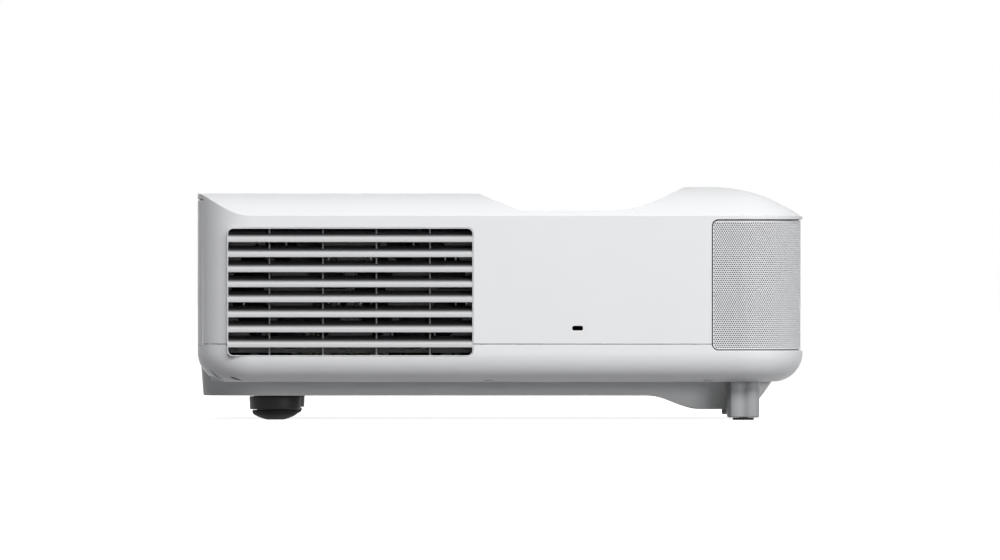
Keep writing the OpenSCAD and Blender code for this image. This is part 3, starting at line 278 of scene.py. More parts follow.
def softened(node, finish, edge=0.0003, body="case", shaped=None):
    """A copy of a CAD node whose loose triangles are joined and laid flat again, with every edge that
    turns more than an angle rounded over, and its curved skins shaded smooth. Corners that the
    rounding throws out are drawn back onto the skin. With no rounding its edges stay sharp."""
    keen_turn, flat_turn, stray = math.radians(28), math.radians(0.4), 1e-5
    mesh = nodes[node].data.copy()
    mesh.name = node + "_skin"
    form = bmesh.new()
    form.from_mesh(mesh)
    bmesh.ops.remove_doubles(form, verts=form.verts, dist=2e-6)
    if edge:
        bmesh.ops.dissolve_limit(form, angle_limit=flat_turn, verts=form.verts, edges=form.edges)
    if shaped:
        shaped(form)
    form.faces.index_update()
    skin = BVHTree.FromBMesh(form)
    wide = [2 * f.calc_area() / f.calc_perimeter() > edge / 2 for f in form.faces]
    keen = [e for e in form.edges if e.is_manifold and e.calc_face_angle(0) > keen_turn
            and all(wide[f.index] for f in e.link_faces)]
    for rim in keen:
        rim.smooth = bool(edge)
    if edge:
        bmesh.ops.bevel(form, geom=keen, offset=edge, offset_type="OFFSET", segments=2, profile=0.5,
                        affect="EDGES", clamp_overlap=False, miter_outer="ARC")
    for vert in form.verts:
        spot, _, _, away = skin.find_nearest(vert.co)
        if away > max(edge, stray):
            vert.co = spot
        vert.co = [min(max(c, least), most) for c, least, most in zip(vert.co, low, high)]
    for face in form.faces:
        face.smooth = True
    form.to_mesh(mesh)
    form.free()
    mesh.materials.clear()
    mesh.materials.append(finish.material)
    made = bpy.data.objects.new(mesh.name, mesh)
    bpy.context.scene.collection.objects.link(made)
    weigh = made.modifiers.new("flat_faces_first", "WEIGHTED_NORMAL")
    weigh.weight, weigh.thresh = 90, 0.01
    return fitted(made, node, body)


def dress(node, finish):
    """Gives a CAD node that is already right in shape its finish."""
    for place in nodes[node].material_slots:
        place.material = finish.material


def lid_fall(x, y):
    """How far the top lies below the crest: the front dome's circle, the crown's circle by the distance
    from the side wall, and the same crown by the distance from the rounded outline; with that distance."""
    x, y = np.abs(x), -y
    dome_r, dome_start, crown_r, crown_run, corner_r = 0.1058, 0.138, 0.04456, 0.0365, 0.043
    dome = dome_r - np.sqrt(dome_r ** 2 - np.clip(y - dome_start, 0, 0.1) ** 2)
    from_side = high.x - x
    aside, ahead = np.maximum(x - high.x + corner_r, 0), np.maximum(y + low.y + corner_r, 0)
    inside = np.where((aside > 0) & (ahead > 0), corner_r - np.hypot(aside, ahead), from_side)
    crowns = [crown_r - np.sqrt(crown_r ** 2 - np.clip(crown_run - way, 0, crown_run) ** 2)
              for way in (from_side, inside)]
    return dome, *crowns, inside


def round_front_corners(form):
    """Both skins of the hump are cut into small fields near the front corners. There the crown's fall
    follows the rounded outline: the top lies below the crest by the larger of the dome's and that
    crown's fall, and further in by the fifth root of the sum of their fifth powers, which rounds the
    mitre between them away. The inner skin stays a wall's thickness below."""
    field, past_x, past_y, crease = 0.003, 0.183, -0.127, 0.134
    melt_run, skin, wall = 0.012, 0.0015, 0.0025
    cuts = [(0, -1, at) for at in np.arange(past_x + 0.001, high.x, field)]
    cuts += [(0, 1, at) for _, _, at in cuts]
    cuts += [(1, 1, at) for at in np.arange(low.y + 0.0015, past_y - 0.001, field)]
    for axis, side, at in cuts:
        fields = [f for f in form.faces if f.calc_center_median().z > crease - 0.0005 and any(
            abs(v.co.x) > past_x and v.co.y < past_y for v in f.verts)]
        about = dict.fromkeys(part for f in fields for part in (*f.edges, *f.verts))
        bmesh.ops.bisect_plane(form, geom=fields + list(about), dist=1e-6,
                               plane_co=[side * at * (k == axis) for k in range(3)],
                               plane_no=[float(k == axis) for k in range(3)])
    verts = [v for v in form.verts if v.co.z > crease and v.co.y < past_y and abs(v.co.x) > past_x]
    x, y, z = np.array([v.co for v in verts]).T
    dome, old_crown, crown, inside = lid_fall(x, y)
    mitred = np.maximum(dome, crown)
    melted = (dome ** 5 + crown ** 5) ** 0.2
    top = high.z - mitred - (melted - mitred) * np.clip(inside / melt_run, 0, 1)
    inner = (z < high.z - np.maximum(dome, old_crown) - skin) & (inside > wall - 0.0001)
    for vert, height in zip(verts, np.minimum(z, top - wall * inner)):
        vert.co.z = height
    bmesh.ops.remove_doubles(form, verts=verts, dist=2e-5)
    bmesh.ops.dissolve_degenerate(form, edges=form.edges, dist=2e-5)


def lifted(form, height, amount, within=0.0001):
    """Moves the corners that lie at a height up or down, to open or close the joint there."""
    for vert in form.verts:
        if abs(vert.co.z - height) < within:
            vert.co.z += amount


def upper_form(form):
    """The hump's rounded corners, and the upper side of the parting line's narrow gap."""
    round_front_corners(form)
    lifted(form, seam_z, seam_gap / 2)


seam_z, seam_gap = 0.0502, 0.0004
white_plastic = moulded("white_textured_plastic", (0.80, 0.805, 0.815), 0.47)
softened("upper_case", white_plastic, shaped=upper_form)


# ---- Lower case and base pan -------------------------
# The lower case is the same white plastic, rolled under along the sides and the front, with a few
# shallow recesses where the mould was split. The base pan is screwed in below it: a moulding with a
# coarser texture and a slanted nose, in a grey-white that is painted shade for its place under the case.
def spindle(middle_line, radii, sides=12):
    """A closed tube along a line of points, pointed at both ends, its radius given at each point."""
    line = np.asarray(middle_line, float)
    ahead = np.gradient(line, axis=0)
    ahead /= np.linalg.norm(ahead, axis=1, keepdims=True)
    across = np.cross(ahead, (0.0, 0.0, 1.0))
    across /= np.linalg.norm(across, axis=1, keepdims=True)
    above = np.cross(across, ahead)
    turn = np.arange(sides) * 2 * math.pi / sides
    around = (np.cos(turn)[None, :, None] * across[:, None]
              + np.sin(turn)[None, :, None] * above[:, None])
    points = line[:, None] + np.asarray(radii)[:, None, None] * around
    count = len(line)
    return points.reshape(-1, 3), grid_faces(count, sides, close=True).tolist() + [
        list(range(sides))[::-1], list(range((count - 1) * sides, count * sides))]


def rolled_x(y, z):
    """How far out the rolled lower edge reaches at a place along the case and a height: a quarter
    circle in height, carried round the quarter circle of the rear corner."""
    roll_r, roll_top, corner_r = 0.0195, 0.0448, 0.035
    under = roll_r - np.sqrt(roll_r ** 2 - np.clip(roll_top - z, 0, roll_r) ** 2)
    turned = np.sqrt(np.maximum((corner_r - under) ** 2 - np.clip(y - high.y + corner_r, 0, 1) ** 2, 0))
    return low.x + corner_r - turned


def recessed(made, strokes):
    """Cuts shallow recesses into a piece: each stroke runs between two places (y, z) on the rolled edge
    with a sag between them, and swells to its radius nearer its first end. Their floors are left coarse
    by the mould, and their dark grey is painted shade for the recess."""
    cutters = []
    for (y0, z0), (y1, z1), sag, radius in strokes:
        share = np.linspace(0, 1, 13)
        y, z = y0 + (y1 - y0) * share, z0 + (z1 - z0) * share - sag * np.sin(math.pi * share)
        line = np.stack([rolled_x(y, z), y, z], 1)
        swell = radius * (0.12 + 0.88 * np.sin(math.pi * share ** 0.7))
        cutter = joined(surface("recess_cutter", *spindle(line, swell), recess_shade_plastic))
        cut = made.modifiers.new("recess", "BOOLEAN")
        cut.object, cut.solver, cut.operation = cutter, "EXACT", "DIFFERENCE"
        cut.material_mode = "TRANSFER"
        made.modifiers.move(len(made.modifiers) - 1, 0)
        cutters.append(cutter)
    bpy.context.view_layer.update()
    done = bpy.data.meshes.new_from_object(made.evaluated_get(bpy.context.evaluated_depsgraph_get()))
    made.modifiers.clear()
    made.data = done
    for cutter in cutters:
        bpy.data.objects.remove(cutter)


# The recesses' dark grey is painted shade for their floors.
recess_shade_plastic = moulded("coarse_recess_plastic", (0.30, 0.302, 0.305), 0.75, grain=0.06)
lower_case = softened("lower_case", white_plastic,
                      shaped=lambda form: lifted(form, seam_z, -seam_gap / 2))
recessed(lower_case, [((0.1914, 0.0332), (0.1822, 0.0261), 0.0010, 0.0009),
                      ((0.1782, 0.0286), (0.1698, 0.0258), 0.0002, 0.0015),
                      ((0.0110, 0.0258), (0.0030, 0.0258), -0.0006, 0.0006),
                      ((-0.1335, 0.0258), (-0.1410, 0.0258), -0.0006, 0.0006)])
# The pan's grey-white, darker than the case, is painted shade for its place under the rolled edge.
pan_shaded_plastic = moulded("base_pan_plastic", (0.72, 0.725, 0.73), 0.55, grain=0.05)
softened("base_pan", pan_shaded_plastic, edge=0.0007)


# ---- Rear panel --------------------------------------
# A flat white panel that carries the sockets' openings and the rows of air slots. It is held by four
# screws, and a narrow groove stays open between its upper edge and the top.
def panel_form(form):
    """The panel's upper and lower edges reach over the joints to the cases."""
    lowest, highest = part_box("rear_panel")
    groove, up, down = 0.0021, 0.0013, 0.0009
    lifted(form, highest.z - groove, up, 0.0003)
    lifted(form, lowest.z, -down)


softened("rear_panel", white_plastic, edge=0, shaped=panel_form)

# ---- Window in the valley ----------------------------
# A gloss-black frame glued from below, and a coated glass plate set a little below the valley floor.
# The coating gives it a faint violet sheen.
gloss_black = moulded("gloss_black_plastic", (0.018, 0.018, 0.020), 0.16, grain=0.012)
softened("window_frame", gloss_black)
window_coat = Finish("coated_window_glass", IOR=1.5, Coat_Weight=0.6, Coat_Roughness=0.02)
smear = window_coat.noise(9.0, 3.0)
window_coat.set(Base_Color=window_coat.blend(smear, (0.022, 0.020, 0.034), (0.036, 0.030, 0.052)),
                Roughness=0.05 + smear * 0.05)
softened("window_glass", window_coat, edge=0.0002)


# ---- Exhaust louvre ----------------------------------
# One moulding clipped into the louvre side: a frame with a fine bright lip, eight slats whose lower
# edge stands upright before it leans back into the case, and four thin ribs that tie them together.
# The blades darken towards their inner ends, as painted shade for the shadow of the slat above each.
louvre_low, louvre_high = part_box("exhaust_grille")
slat_count, slat_pitch, slat_high, slat_face, first_gap = 8, 0.00992, 0.0075, 0.0004, 0.0021
rib_count, rib_first, rib_pitch, rib_wide, rib_depth = 4, 0.0287, 0.0353, 0.0011, 0.0062
lip_wide, lip_round, corner = 0.0007, 0.0004, 0.004
louvre_colour, slat_shade_colour = (0.78, 0.785, 0.795), (0.040, 0.040, 0.042)
slat_shade_start, slat_shade_end, slat_shade_power = 0.0002, 0.0042, 0.48


def rounded(low_corner, high_corner, radius, steps=8):
    """Points round a rectangle whose corners are quarter circles, counter-clockwise from the right."""
    turn = np.linspace(0, math.pi / 2, steps)
    quarter = np.stack([np.cos(turn), np.sin(turn)], 1) * radius
    corners = []
    for k, (u, v) in enumerate([(1, 1), (0, 1), (0, 0), (1, 0)]):
        centre = (high_corner[0] - radius if u else low_corner[0] + radius,
                  high_corner[1] - radius if v else low_corner[1] + radius)
        turned = quarter @ np.array([[math.cos(k * math.pi / 2), math.sin(k * math.pi / 2)],
                                     [-math.sin(k * math.pi / 2), math.cos(k * math.pi / 2)]])
        corners.append(turned + centre)
    return np.concatenate(corners)


def slat_section():
    """One slat across the case, depth against height: a rounded lower edge, an upright face, a bend of
    2 mm radius, and a blade that rises 20 degrees to its rear end; then back along its inner side."""
    thick, bend, rise = 0.0015, 0.0020, math.radians(20)
    round_r, heel_r, upright, rear_end = 0.0006, 0.0004, 0.0022, 0.0118
    edge = np.linspace(-math.pi / 2, -math.pi, 6)
    lower = np.stack([slat_face + round_r * (1 + np.cos(edge)), round_r * (1 + np.sin(edge))], 1)
    turn = np.linspace(math.pi, math.pi / 2 + rise, 10)
    circle = np.stack([np.cos(turn), np.sin(turn)], 1)
    out = [slat_face + bend, upright] + bend * circle
    reach = rear_end - out[-1, 0]
    tip = out[-1] + [reach, reach * math.tan(rise)]
    back = [slat_face + bend, upright] + (bend - thick) * circle[::-1]
    under = tip + [thick * math.sin(rise), -thick * math.cos(rise)]
    heel = np.array([[slat_face + thick, heel_r], [slat_face + thick - 0.0003, 0.0]])
    return np.concatenate([lower, out, [tip, under], back, heel])


def bar_faces(many, count):
    """The sides and both ends of several bars, each of two loops of points."""
    sides = np.concatenate([grid_faces(2, count, close=True, first=k * 2 * count) for k in range(many)])
    return sides.tolist() + [[k * count + i for i in range(count)] for k in range(2 * many)]


def slats():
    """The section carried straight along y, once for each slat, with its two ends closed."""
    section = slat_section()
    count = len(section)
    ends = np.array([louvre_low.y + lip_wide / 2, louvre_high.y - lip_wide / 2])
    heights = louvre_high.z - first_gap - slat_high - slat_pitch * np.arange(slat_count)
    depth = np.tile(section[:, 0], (slat_count, 2, 1))
    height = section[:, 1] + heights[:, None, None] + np.zeros((slat_count, 2, 1))
    along = np.zeros((slat_count, 2, count)) + ends[None, :, None]
    points = np.stack([louvre_low.x + depth, along, height], -1).reshape(-1, 3)
    return points, bar_faces(slat_count, count)


def ring(outer, inner, x_out, x_in, lip):
    """A frame whose cross-section is a rectangle with a rounded front: loops of the same outline from
    the wall's plane over the lip and back, between the outer and the inner outline."""
    blend = np.array([0.0, 0.0, 0.25, 0.75, 1.0, 1.0, 1.0, 0.0])
    depth = np.array([x_in, x_out + lip, x_out, x_out, x_out + lip, x_out + 3 * lip, x_in, x_in])
    loops = outer[None] * (1 - blend[:, None, None]) + inner[None] * blend[:, None, None]
    x = np.repeat(depth[:, None, None], loops.shape[1], 1)
    return np.concatenate([x, loops], 2).reshape(-1, 3), loops.shape[:2]


louvre_white = moulded("louvre_white_plastic", louvre_colour, 0.42)
slat_white = moulded("slat_white_plastic", louvre_colour, 0.42)
# The slats' colour darkens with depth into the case: painted shade for the shadow of the slat above.
inward = slat_white.node("ShaderNodeSeparateXYZ", {}, {0: slat_white.place})
slat_shade_share = slat_white.node("ShaderNodeMapRange", {}, {"Value": inward,
                                                    "From Min": louvre_low.x + slat_shade_start,
                                                    "From Max": louvre_low.x + slat_shade_end})
slat_white.set(Base_Color=slat_white.blend(slat_shade_share.math("POWER", slat_shade_power), louvre_colour, slat_shade_colour))
exhaust_slats = joined(surface("exhaust_slats", *slats(), slat_white))
outer = rounded((louvre_low.y, louvre_low.z), (louvre_high.y, louvre_high.z), corner)
inner = rounded((louvre_low.y + lip_wide, louvre_low.z + lip_wide),
                (louvre_high.y - lip_wide, louvre_high.z - lip_wide), corner - lip_wide)
frame_points, (loops, columns) = ring(outer, inner, louvre_low.x, louvre_high.x, lip_round)
exhaust_frame = joined(surface("exhaust_frame", frame_points, grid_faces(loops, columns, close=True),
                               louvre_white))


def ribs():
    """Thin upright boards with rounded front edges: a section across y and x carried up from the
    frame's lower to its upper side."""
    turn = np.linspace(0, math.pi, 7)
    front = louvre_low.x + rib_depth
    y = np.concatenate([rib_wide / 2 * np.cos(turn), [-rib_wide / 2, rib_wide / 2]])
    x = np.concatenate([front + rib_wide / 2 * (1 - np.sin(turn)), [louvre_high.x, louvre_high.x]])
    mids = louvre_low.y + rib_first + rib_pitch * np.arange(rib_count)
    z = np.array([louvre_low.z + lip_wide / 2, louvre_high.z - lip_wide / 2])
    count = len(y)
    grid = np.zeros((rib_count, 2, count))
    points = np.stack([x + grid, mids[:, None, None] + y + grid, z[None, :, None] + grid],
                      -1).reshape(-1, 3)
    return points, bar_faces(rib_count, count)


# The ribs' dark grey is painted shade for their place deep between the slats.
rib_shade_grey = moulded("louvre_rib_shaded_plastic", (0.30, 0.302, 0.306), 0.5)
exhaust_ribs = joined(surface("exhaust_ribs", *ribs(), rib_shade_grey))
for part in (exhaust_slats, exhaust_frame, exhaust_ribs):
    fitted(part, "exhaust_grille")


# ---- Speaker grille ----------------------------------
# A sheet of perforated steel, 0.8 mm thick and painted light silver, that is bent round both front
# corners. Its round holes stand in staggered rows, with a plain margin along the edges.
sheet_low, sheet_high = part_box("speaker_grille")
sheet_thick, hole_pitch, hole_r, margin = 0.0008, 0.0015, 0.00052, 0.0002
front_corner, sheet_inset, sheet_corner = 0.043, 0.0015, 0.0036
side_run = sheet_high.y - (low.y + front_corner)
bend_r = front_corner - sheet_inset
front_run = high.x - low.x - 2 * front_corner
sheet_run = 2 * side_run + math.pi * bend_r + front_run


def wrapped(run, depth):
    """Points on the sheet, depth behind its face: along the left side, round the corner and along the
    front, and past the middle the mirror image of the same way back."""
    near = np.minimum(run, sheet_run - run)
    turn = np.clip((near - side_run) / bend_r, 0, math.pi / 2)
    radius = bend_r - depth
    past_bend = np.maximum(near - side_run - bend_r * math.pi / 2, 0)
    x = low.x + front_corner - radius * np.cos(turn) + past_bend
    y = low.y + front_corner - radius * np.sin(turn) + np.maximum(side_run - near, 0)
    return np.where(run > sheet_run / 2, -x, x), y


def held_in(run, height, lowest, highest):
    """Points outside the sheet's outline are moved onto it, round its four corners too."""
    run, height = np.clip(run, 0, sheet_run), np.clip(height, lowest, highest)
    mid_run = np.clip(run, sheet_corner, sheet_run - sheet_corner)
    mid_height = np.clip(height, lowest + sheet_corner, highest - sheet_corner)
    away = np.hypot(run - mid_run, height - mid_height)
    pull = np.minimum(1, sheet_corner / np.maximum(away, 1e-9))
    return mid_run + (run - mid_run) * pull, mid_height + (height - mid_height) * pull


def perforated(start, stop):
    """Hexagonal cells in staggered rows, those whose middle lies between two places along the sheet.
    A cell inside the margin has a hole: six quads round it and six down its wall. A cell in the margin
    is one plain face, cut off at the sheet's outline."""
    lowest, highest = sheet_low.z, sheet_high.z
    side = hole_pitch / math.sqrt(3)
    rows = np.arange(-1, int((highest - lowest) / (1.5 * side)) + 2)
    across = np.arange(-1, int(sheet_run / hole_pitch) + 2)
    r, c = np.meshgrid(rows, across, indexing="ij")
    run = ((c + 0.5 * (r % 2)) * hole_pitch).ravel()
    height = (lowest + r * 1.5 * side).ravel()
    keep = (run >= start) & (run < stop)
    run, height = run[keep, None], height[keep, None]
    turn = np.radians(30 + 60 * np.arange(6))[None]
    rim = held_in(run + side * np.cos(turn), height + side * np.sin(turn), lowest, highest)
    holed = ((run > margin + hole_r) & (run < sheet_run - margin - hole_r)
             & (height > lowest + margin + hole_r) & (height < highest - margin - hole_r))
    past = held_in(run, height, lowest + margin, highest - margin)
    holed &= (np.hypot(past[0] - run, past[1] - height) < 1e-6)
    holed = holed.ravel()
    mouth = run + hole_r * np.cos(turn), height + hole_r * np.sin(turn)
    layers = []
    for (u, v), depth in ((rim, 0.0), (mouth, 0.0), (mouth, sheet_thick)):
        x, y = wrapped(u, depth)
        layers.append(np.stack([x, y, v + np.zeros_like(u)], -1))
    points = np.stack(layers, 1)
    first = 18 * np.arange(len(points))[:, None]
    i, n = np.arange(6)[None], (np.arange(6)[None] + 1) % 6
    quads = np.concatenate([
        np.stack([first + i, first + n, first + 6 + n, first + 6 + i], -1)[holed].reshape(-1, 4),
        np.stack([first + 6 + i, first + 6 + n, first + 12 + n, first + 12 + i], -1)[holed].reshape(-1, 4)])
    plain = (first + i)[~holed]
    flat = points.reshape(-1, 3)
    whole, where = np.unique(np.round(flat, 7), axis=0, return_inverse=True)
    quads, plain = where.reshape(-1)[quads], where.reshape(-1)[plain]
    odd = [list(dict.fromkeys(face)) for face in plain.tolist()]
    return whole, quads[:, ::-1].tolist() + [face[::-1] for face in odd if len(face) > 2]


silver = Finish("silver_painted_steel", Metallic=0.10, IOR=1.45)
paint_drift = silver.noise(30.0, 2.0)
paint_grit = silver.noise(1900.0, 1.0)
silver.set(Base_Color=silver.blend(paint_drift, (0.68, 0.685, 0.695), (0.73, 0.735, 0.745)),
           Roughness=0.60 + paint_grit * 0.12)
silver.bump(paint_grit, 0.00005, 0.3)
front_start = side_run + bend_r * math.pi / 2
cuts = [-1, front_start, *(np.arange(1, 4) * front_run / 3 + front_start), sheet_run + 1]
for start, stop, name in zip(cuts, cuts[1:], ("left", "front_left", "front_middle", "front_right", "right")):
    sheet = surface("grille_" + name, *perforated(start, stop), silver, smooth=False)
    fitted(sheet, "speaker_grille")


def sheet_edge():
    """The sheet's cut edge: its outline at the face, and the same outline one thickness behind."""
    outline = rounded((0, sheet_low.z), (sheet_run, sheet_high.z), sheet_corner)
    steps = [np.linspace(a, b, max(2, int(np.hypot(*(b - a)) / 0.002) + 1))[:-1]
             for a, b in zip(outline, np.roll(outline, -1, 0))]
    outline = np.concatenate(steps)
    layers = []
    for depth in (0.0, sheet_thick):
        x, y = wrapped(outline[:, 0], depth)
        layers.append(np.stack([x, y, outline[:, 1]], -1))
    return np.concatenate(layers), grid_faces(2, len(outline), close=True)


fitted(surface("grille_edge", *sheet_edge(), silver), "speaker_grille")


# ---- Security slot -----------------------------------
# A steel plate behind the louvre side's wall, with a slot of the standard size for a cable lock.
steel = Finish("zinc_plated_steel", Metallic=1.0)
plating = steel.noise(220.0, 4.0)
steel.set(Base_Color=steel.blend(plating, (0.50, 0.50, 0.51), (0.66, 0.66, 0.67)),
          Roughness=0.26 + plating * 0.16)
softened("security_plate", steel, edge=0.0002)

# ---- Screws ------------------------------------------
# Case screws stand deep in the lower case's bosses, and four flat heads hold the rear panel.
dress("case_screws", steel)
dress("panel_screws", steel)

# ---- Filter side -------------------------------------
# A slotted white cover swings down on two pins; behind it are the pleated dust filter, on the cover,
# and the tray that leads the air to the intake fan.
softened("filter_cover", white_plastic, body="filter_door")
fleece = Finish("filter_fleece", Roughness=0.95, Sheen_Weight=0.4)
fibres = fleece.noise(1400.0, 6.0)
dust = fleece.noise(26.0, 3.0)
fleece.set(Base_Color=fleece.blend(fibres * 0.6 + dust * 0.4, (0.16, 0.165, 0.175), (0.36, 0.365, 0.38)))
fleece.bump(fibres, 0.0004, 0.8)
dress("air_filter", fleece)
black_plastic = moulded("black_textured_plastic", (0.030, 0.030, 0.032), 0.50, grain=0.05, mottle=0.05)
softened("filter_frame", black_plastic, edge=0.0004)

# ---- Buttons and indicator ---------------------------
# Two round white push buttons that slide in tubes behind the wall, and a smoked window for the
# indicator lamps and the remote control's receiver.
button_plastic = moulded("button_plastic", (0.74, 0.745, 0.755), 0.36, grain=0.02)
for node, body in (("power_button", "power_key"), ("source_button", "source_key")):
    softened(node, button_plastic, edge=0.0004, body=body)
smoked = Finish("smoked_plastic", Roughness=0.12, IOR=1.49)
depth_tint = smoked.noise(60.0, 2.0)
smoked.set(Base_Color=smoked.blend(depth_tint, (0.012, 0.008, 0.010), (0.030, 0.018, 0.022)),
           Roughness=0.10 + depth_tint * 0.06)
softened("indicator_window", smoked)


# ---- Rear feet ---------------------------------------
# A black knob on a threaded stud sets the height of each rear corner; it turns, and the rubber pad
# below it only slides up and down with it.
def turned(profile, centre, steps=96):
    """A profile of radius against height carried once round the upright line through centre."""
    turn = np.arange(steps) * 2 * math.pi / steps
    radius, height = np.asarray(profile, float).T
    points = np.stack([centre[0] + radius[:, None] * np.cos(turn), centre[1] + radius[:, None] * np.sin(turn),
                       np.repeat(height[:, None], steps, 1)], -1)
    return points.reshape(-1, 3), grid_faces(len(radius), steps, close=True)


def fillet(centre, radius, start, stop, steps=7):
    """Profile points on an arc about a centre, between two angles in degrees."""
    turn = np.radians(np.linspace(start, stop, steps))
    return np.stack([centre[0] + radius * np.cos(turn), centre[1] + radius * np.sin(turn)], 1)


def knob_profile(reach, foot, peak):
    """A knob, hollow below and soft at its rims, and above it the stud that goes up into the case."""
    bore, hollow, lip, rim, soft, top, stud = 0.00505, 0.0033, 0.0004, 0.0007, 0.0006, 0.0156, 0.0040
    return np.concatenate([
        [[0.0, foot + hollow], [bore, foot + hollow], [bore, foot + lip]],
        fillet((0.0055, foot + lip), lip, 180, 270, 4),
        fillet((reach - lip - rim, foot + rim), rim, 270, 360),
        fillet((reach - soft, top - soft), soft, 0, 90),
        [[0.0045, top], [stud, top + soft], [stud, peak - soft], [stud - soft, peak], [0.0, peak]]])


def pad_profile(reach, peak):
    """A rubber pad: domed below round a flat middle, a thin lip above, and a neck up into the knob."""
    flat, rise, sunk, bulge, lip, neck, chamfer = 0.0037, 0.0046, 0.0005, 0.0008, 0.0005, 0.0050, 0.0004
    dome = (reach ** 2 + rise ** 2) / (2 * rise)
    spread = np.linspace(flat, reach - 0.0006, 16)
    height = dome - sunk - np.sqrt(dome ** 2 - spread ** 2)
    return np.concatenate([
        [[0.0, 0.0]], np.stack([spread, np.maximum(height, 0)], 1),
        fillet((reach - bulge, 0.0051), bulge, -40, 0, 5), fillet((reach - lip, 0.0060), lip, 0, 90, 5),
        [[neck, 0.0065], [neck, peak - chamfer], [neck - chamfer, peak], [0.0, peak]]])


rubber = Finish("black_rubber", IOR=1.52, Specular_IOR_Level=0.2)
chalk = rubber.noise(90.0, 4.0)
pores = rubber.noise(3200.0, 1.0)
rubber.set(Base_Color=rubber.blend(chalk, (0.004, 0.004, 0.0045), (0.009, 0.009, 0.0095)),
           Roughness=0.62 + chalk * 0.18)
rubber.bump(pores, 0.00008, 0.5)
knob_plastic = moulded("knob_plastic", (0.009, 0.0092, 0.0096), 0.44, grain=0.05, mottle=0.06)
knob_plastic.set(Specular_IOR_Level=0.25)
for side in ("left", "right"):
    for node, finish, slot_name, body in (("rear_knob_", knob_plastic, "black_plastic", "_foot_knob"),
                                          ("rear_pad_", rubber, "rubber", "_foot_pad")):
        lowest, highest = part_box(node + side)
        middle, reach = (lowest + highest) / 2, (highest.x - lowest.x) / 2
        profile = (pad_profile(reach, highest.z) if finish is rubber
                   else knob_profile(reach, lowest.z, highest.z))
        made = joined(surface(node + side + "_turned", *turned(profile, (middle.x, middle.y)), finish))
        fitted(made, node + side, side + body)


# ---- Front posts -------------------------------------
# Fixed posts under the front corners, grey as painted shade for the shadow under the case: two soft
# upright bulges on the outer side with a shallow groove between them, a darker flank towards the rear that is
# painted shade, and a thin round rubber tip below.
post_shaded_plastic = moulded("post_shaded_plastic", (0.36, 0.365, 0.37), 0.50, grain=0.04)
along = post_shaded_plastic.node("ShaderNodeSeparateXYZ", {}, {0: post_shaded_plastic.place}, out="Y")
# The post's grey and its darker rear flank are painted shade for the shadow under the case.
flank_deep, flank_shade = 0.0027, 0.6
rear_flank_shade = (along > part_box("front_post_left")[1].y - flank_deep) * flank_shade
post_shaded_plastic.set(Base_Color=post_shaded_plastic.blend(rear_flank_shade, post_shaded_plastic.colour, (0.03, 0.03, 0.031)))


def post(side, lowest, highest):
    """A closed outline, two overlapping circles outside and a rectangle with small corners inside,
    carried up with its lower edge drawn in."""
    half_x, half_y = (highest.x - lowest.x) / 2, (highest.y - lowest.y) / 2
    bulge, corner = half_y / 2 + 0.0006, 0.0012
    reach = math.degrees(math.acos((half_y - bulge) / bulge))
    outline = np.concatenate([fillet((half_x - bulge, bulge - half_y), bulge, -90, reach, 22),
                              fillet((half_x - bulge, half_y - bulge), bulge, -reach, 90, 22),
                              fillet((corner - half_x, half_y - corner), corner, 90, 180, 6),
                              fillet((corner - half_x, corner - half_y), corner, 180, 270, 6)])
    z = np.array([lowest.z, lowest.z + 0.0002, lowest.z + 0.0006, lowest.z + 0.0012, highest.z])
    pull = np.array([0.0012, 0.0006, 0.0002, 0.0, 0.0])
    away = outline / np.linalg.norm(outline, axis=1, keepdims=True)
    rings = outline[None] - away[None] * pull[:, None, None]
    middle = (lowest + highest) / 2
    points = np.stack([middle.x + side * rings[..., 0], middle.y + rings[..., 1],
                       np.repeat(z[:, None], len(outline), 1)], -1)
    count = len(outline)
    caps = [list(range(count)), [4 * count + i for i in range(count)]]
    return points.reshape(-1, 3), grid_faces(5, count, close=True).tolist() + caps


def tip_profile(reach, peak):
    """A flat rubber disc with soft rims, and the thinner stem that is pressed into its post."""
    rim, soft, stem = 0.0004, 0.0003, 0.0029
    return np.concatenate([[[0.0, 0.0]], fillet((reach - rim, rim), rim, 270, 360, 5),
                           fillet((reach - soft, 0.0012), soft, 0, 90, 5),
                           [[stem, 0.00155], [stem, peak], [0.0, peak]]])


for side, sign in (("left", -1), ("right", 1)):
    lowest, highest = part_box("front_post_" + side)
    made = joined(surface("front_post_" + side + "_moulded", *post(sign, lowest, highest), post_shaded_plastic))
    fitted(made, "front_post_" + side)
    lowest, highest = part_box("front_tip_" + side)
    middle, reach = (lowest + highest) / 2, (highest.x - lowest.x) / 2
    tip = turned(tip_profile(reach, highest.z), (middle.x, middle.y), 48)
    fitted(joined(surface("front_tip_" + side + "_turned", *tip, rubber)), "front_tip_" + side)


# ---- Optical base and light source -------------------
# A raw die-cast base carries the light's way: the nickel-plated laser module, the phosphor wheel on
# its motor, and the plates and relay lenses that split and gather the colours.
def bare_metal(name, colour, roughness, stretch=(1.0, 1.0, 1.0), wear=0.10):
    """Unpainted metal: slow clouds, and fine lines that run along the axis stretched least."""
    made = Finish(name, Metallic=1.0)
    drawn = made.node("ShaderNodeMapping", {}, {"Vector": made.place, "Scale": stretch})
    cloud, lines = made.noise(18.0, 4.0), made.noise(700.0, 2.0, place=drawn)
    dark = tuple(c * (1 - 2 * wear) for c in colour)
    made.set(Base_Color=made.blend(cloud * 0.6 + lines * 0.4, dark, colour),
             Roughness=roughness - 0.06 + cloud * 0.06 + lines * 0.08)
    made.bump(lines, 0.0001, 0.2)
    return made


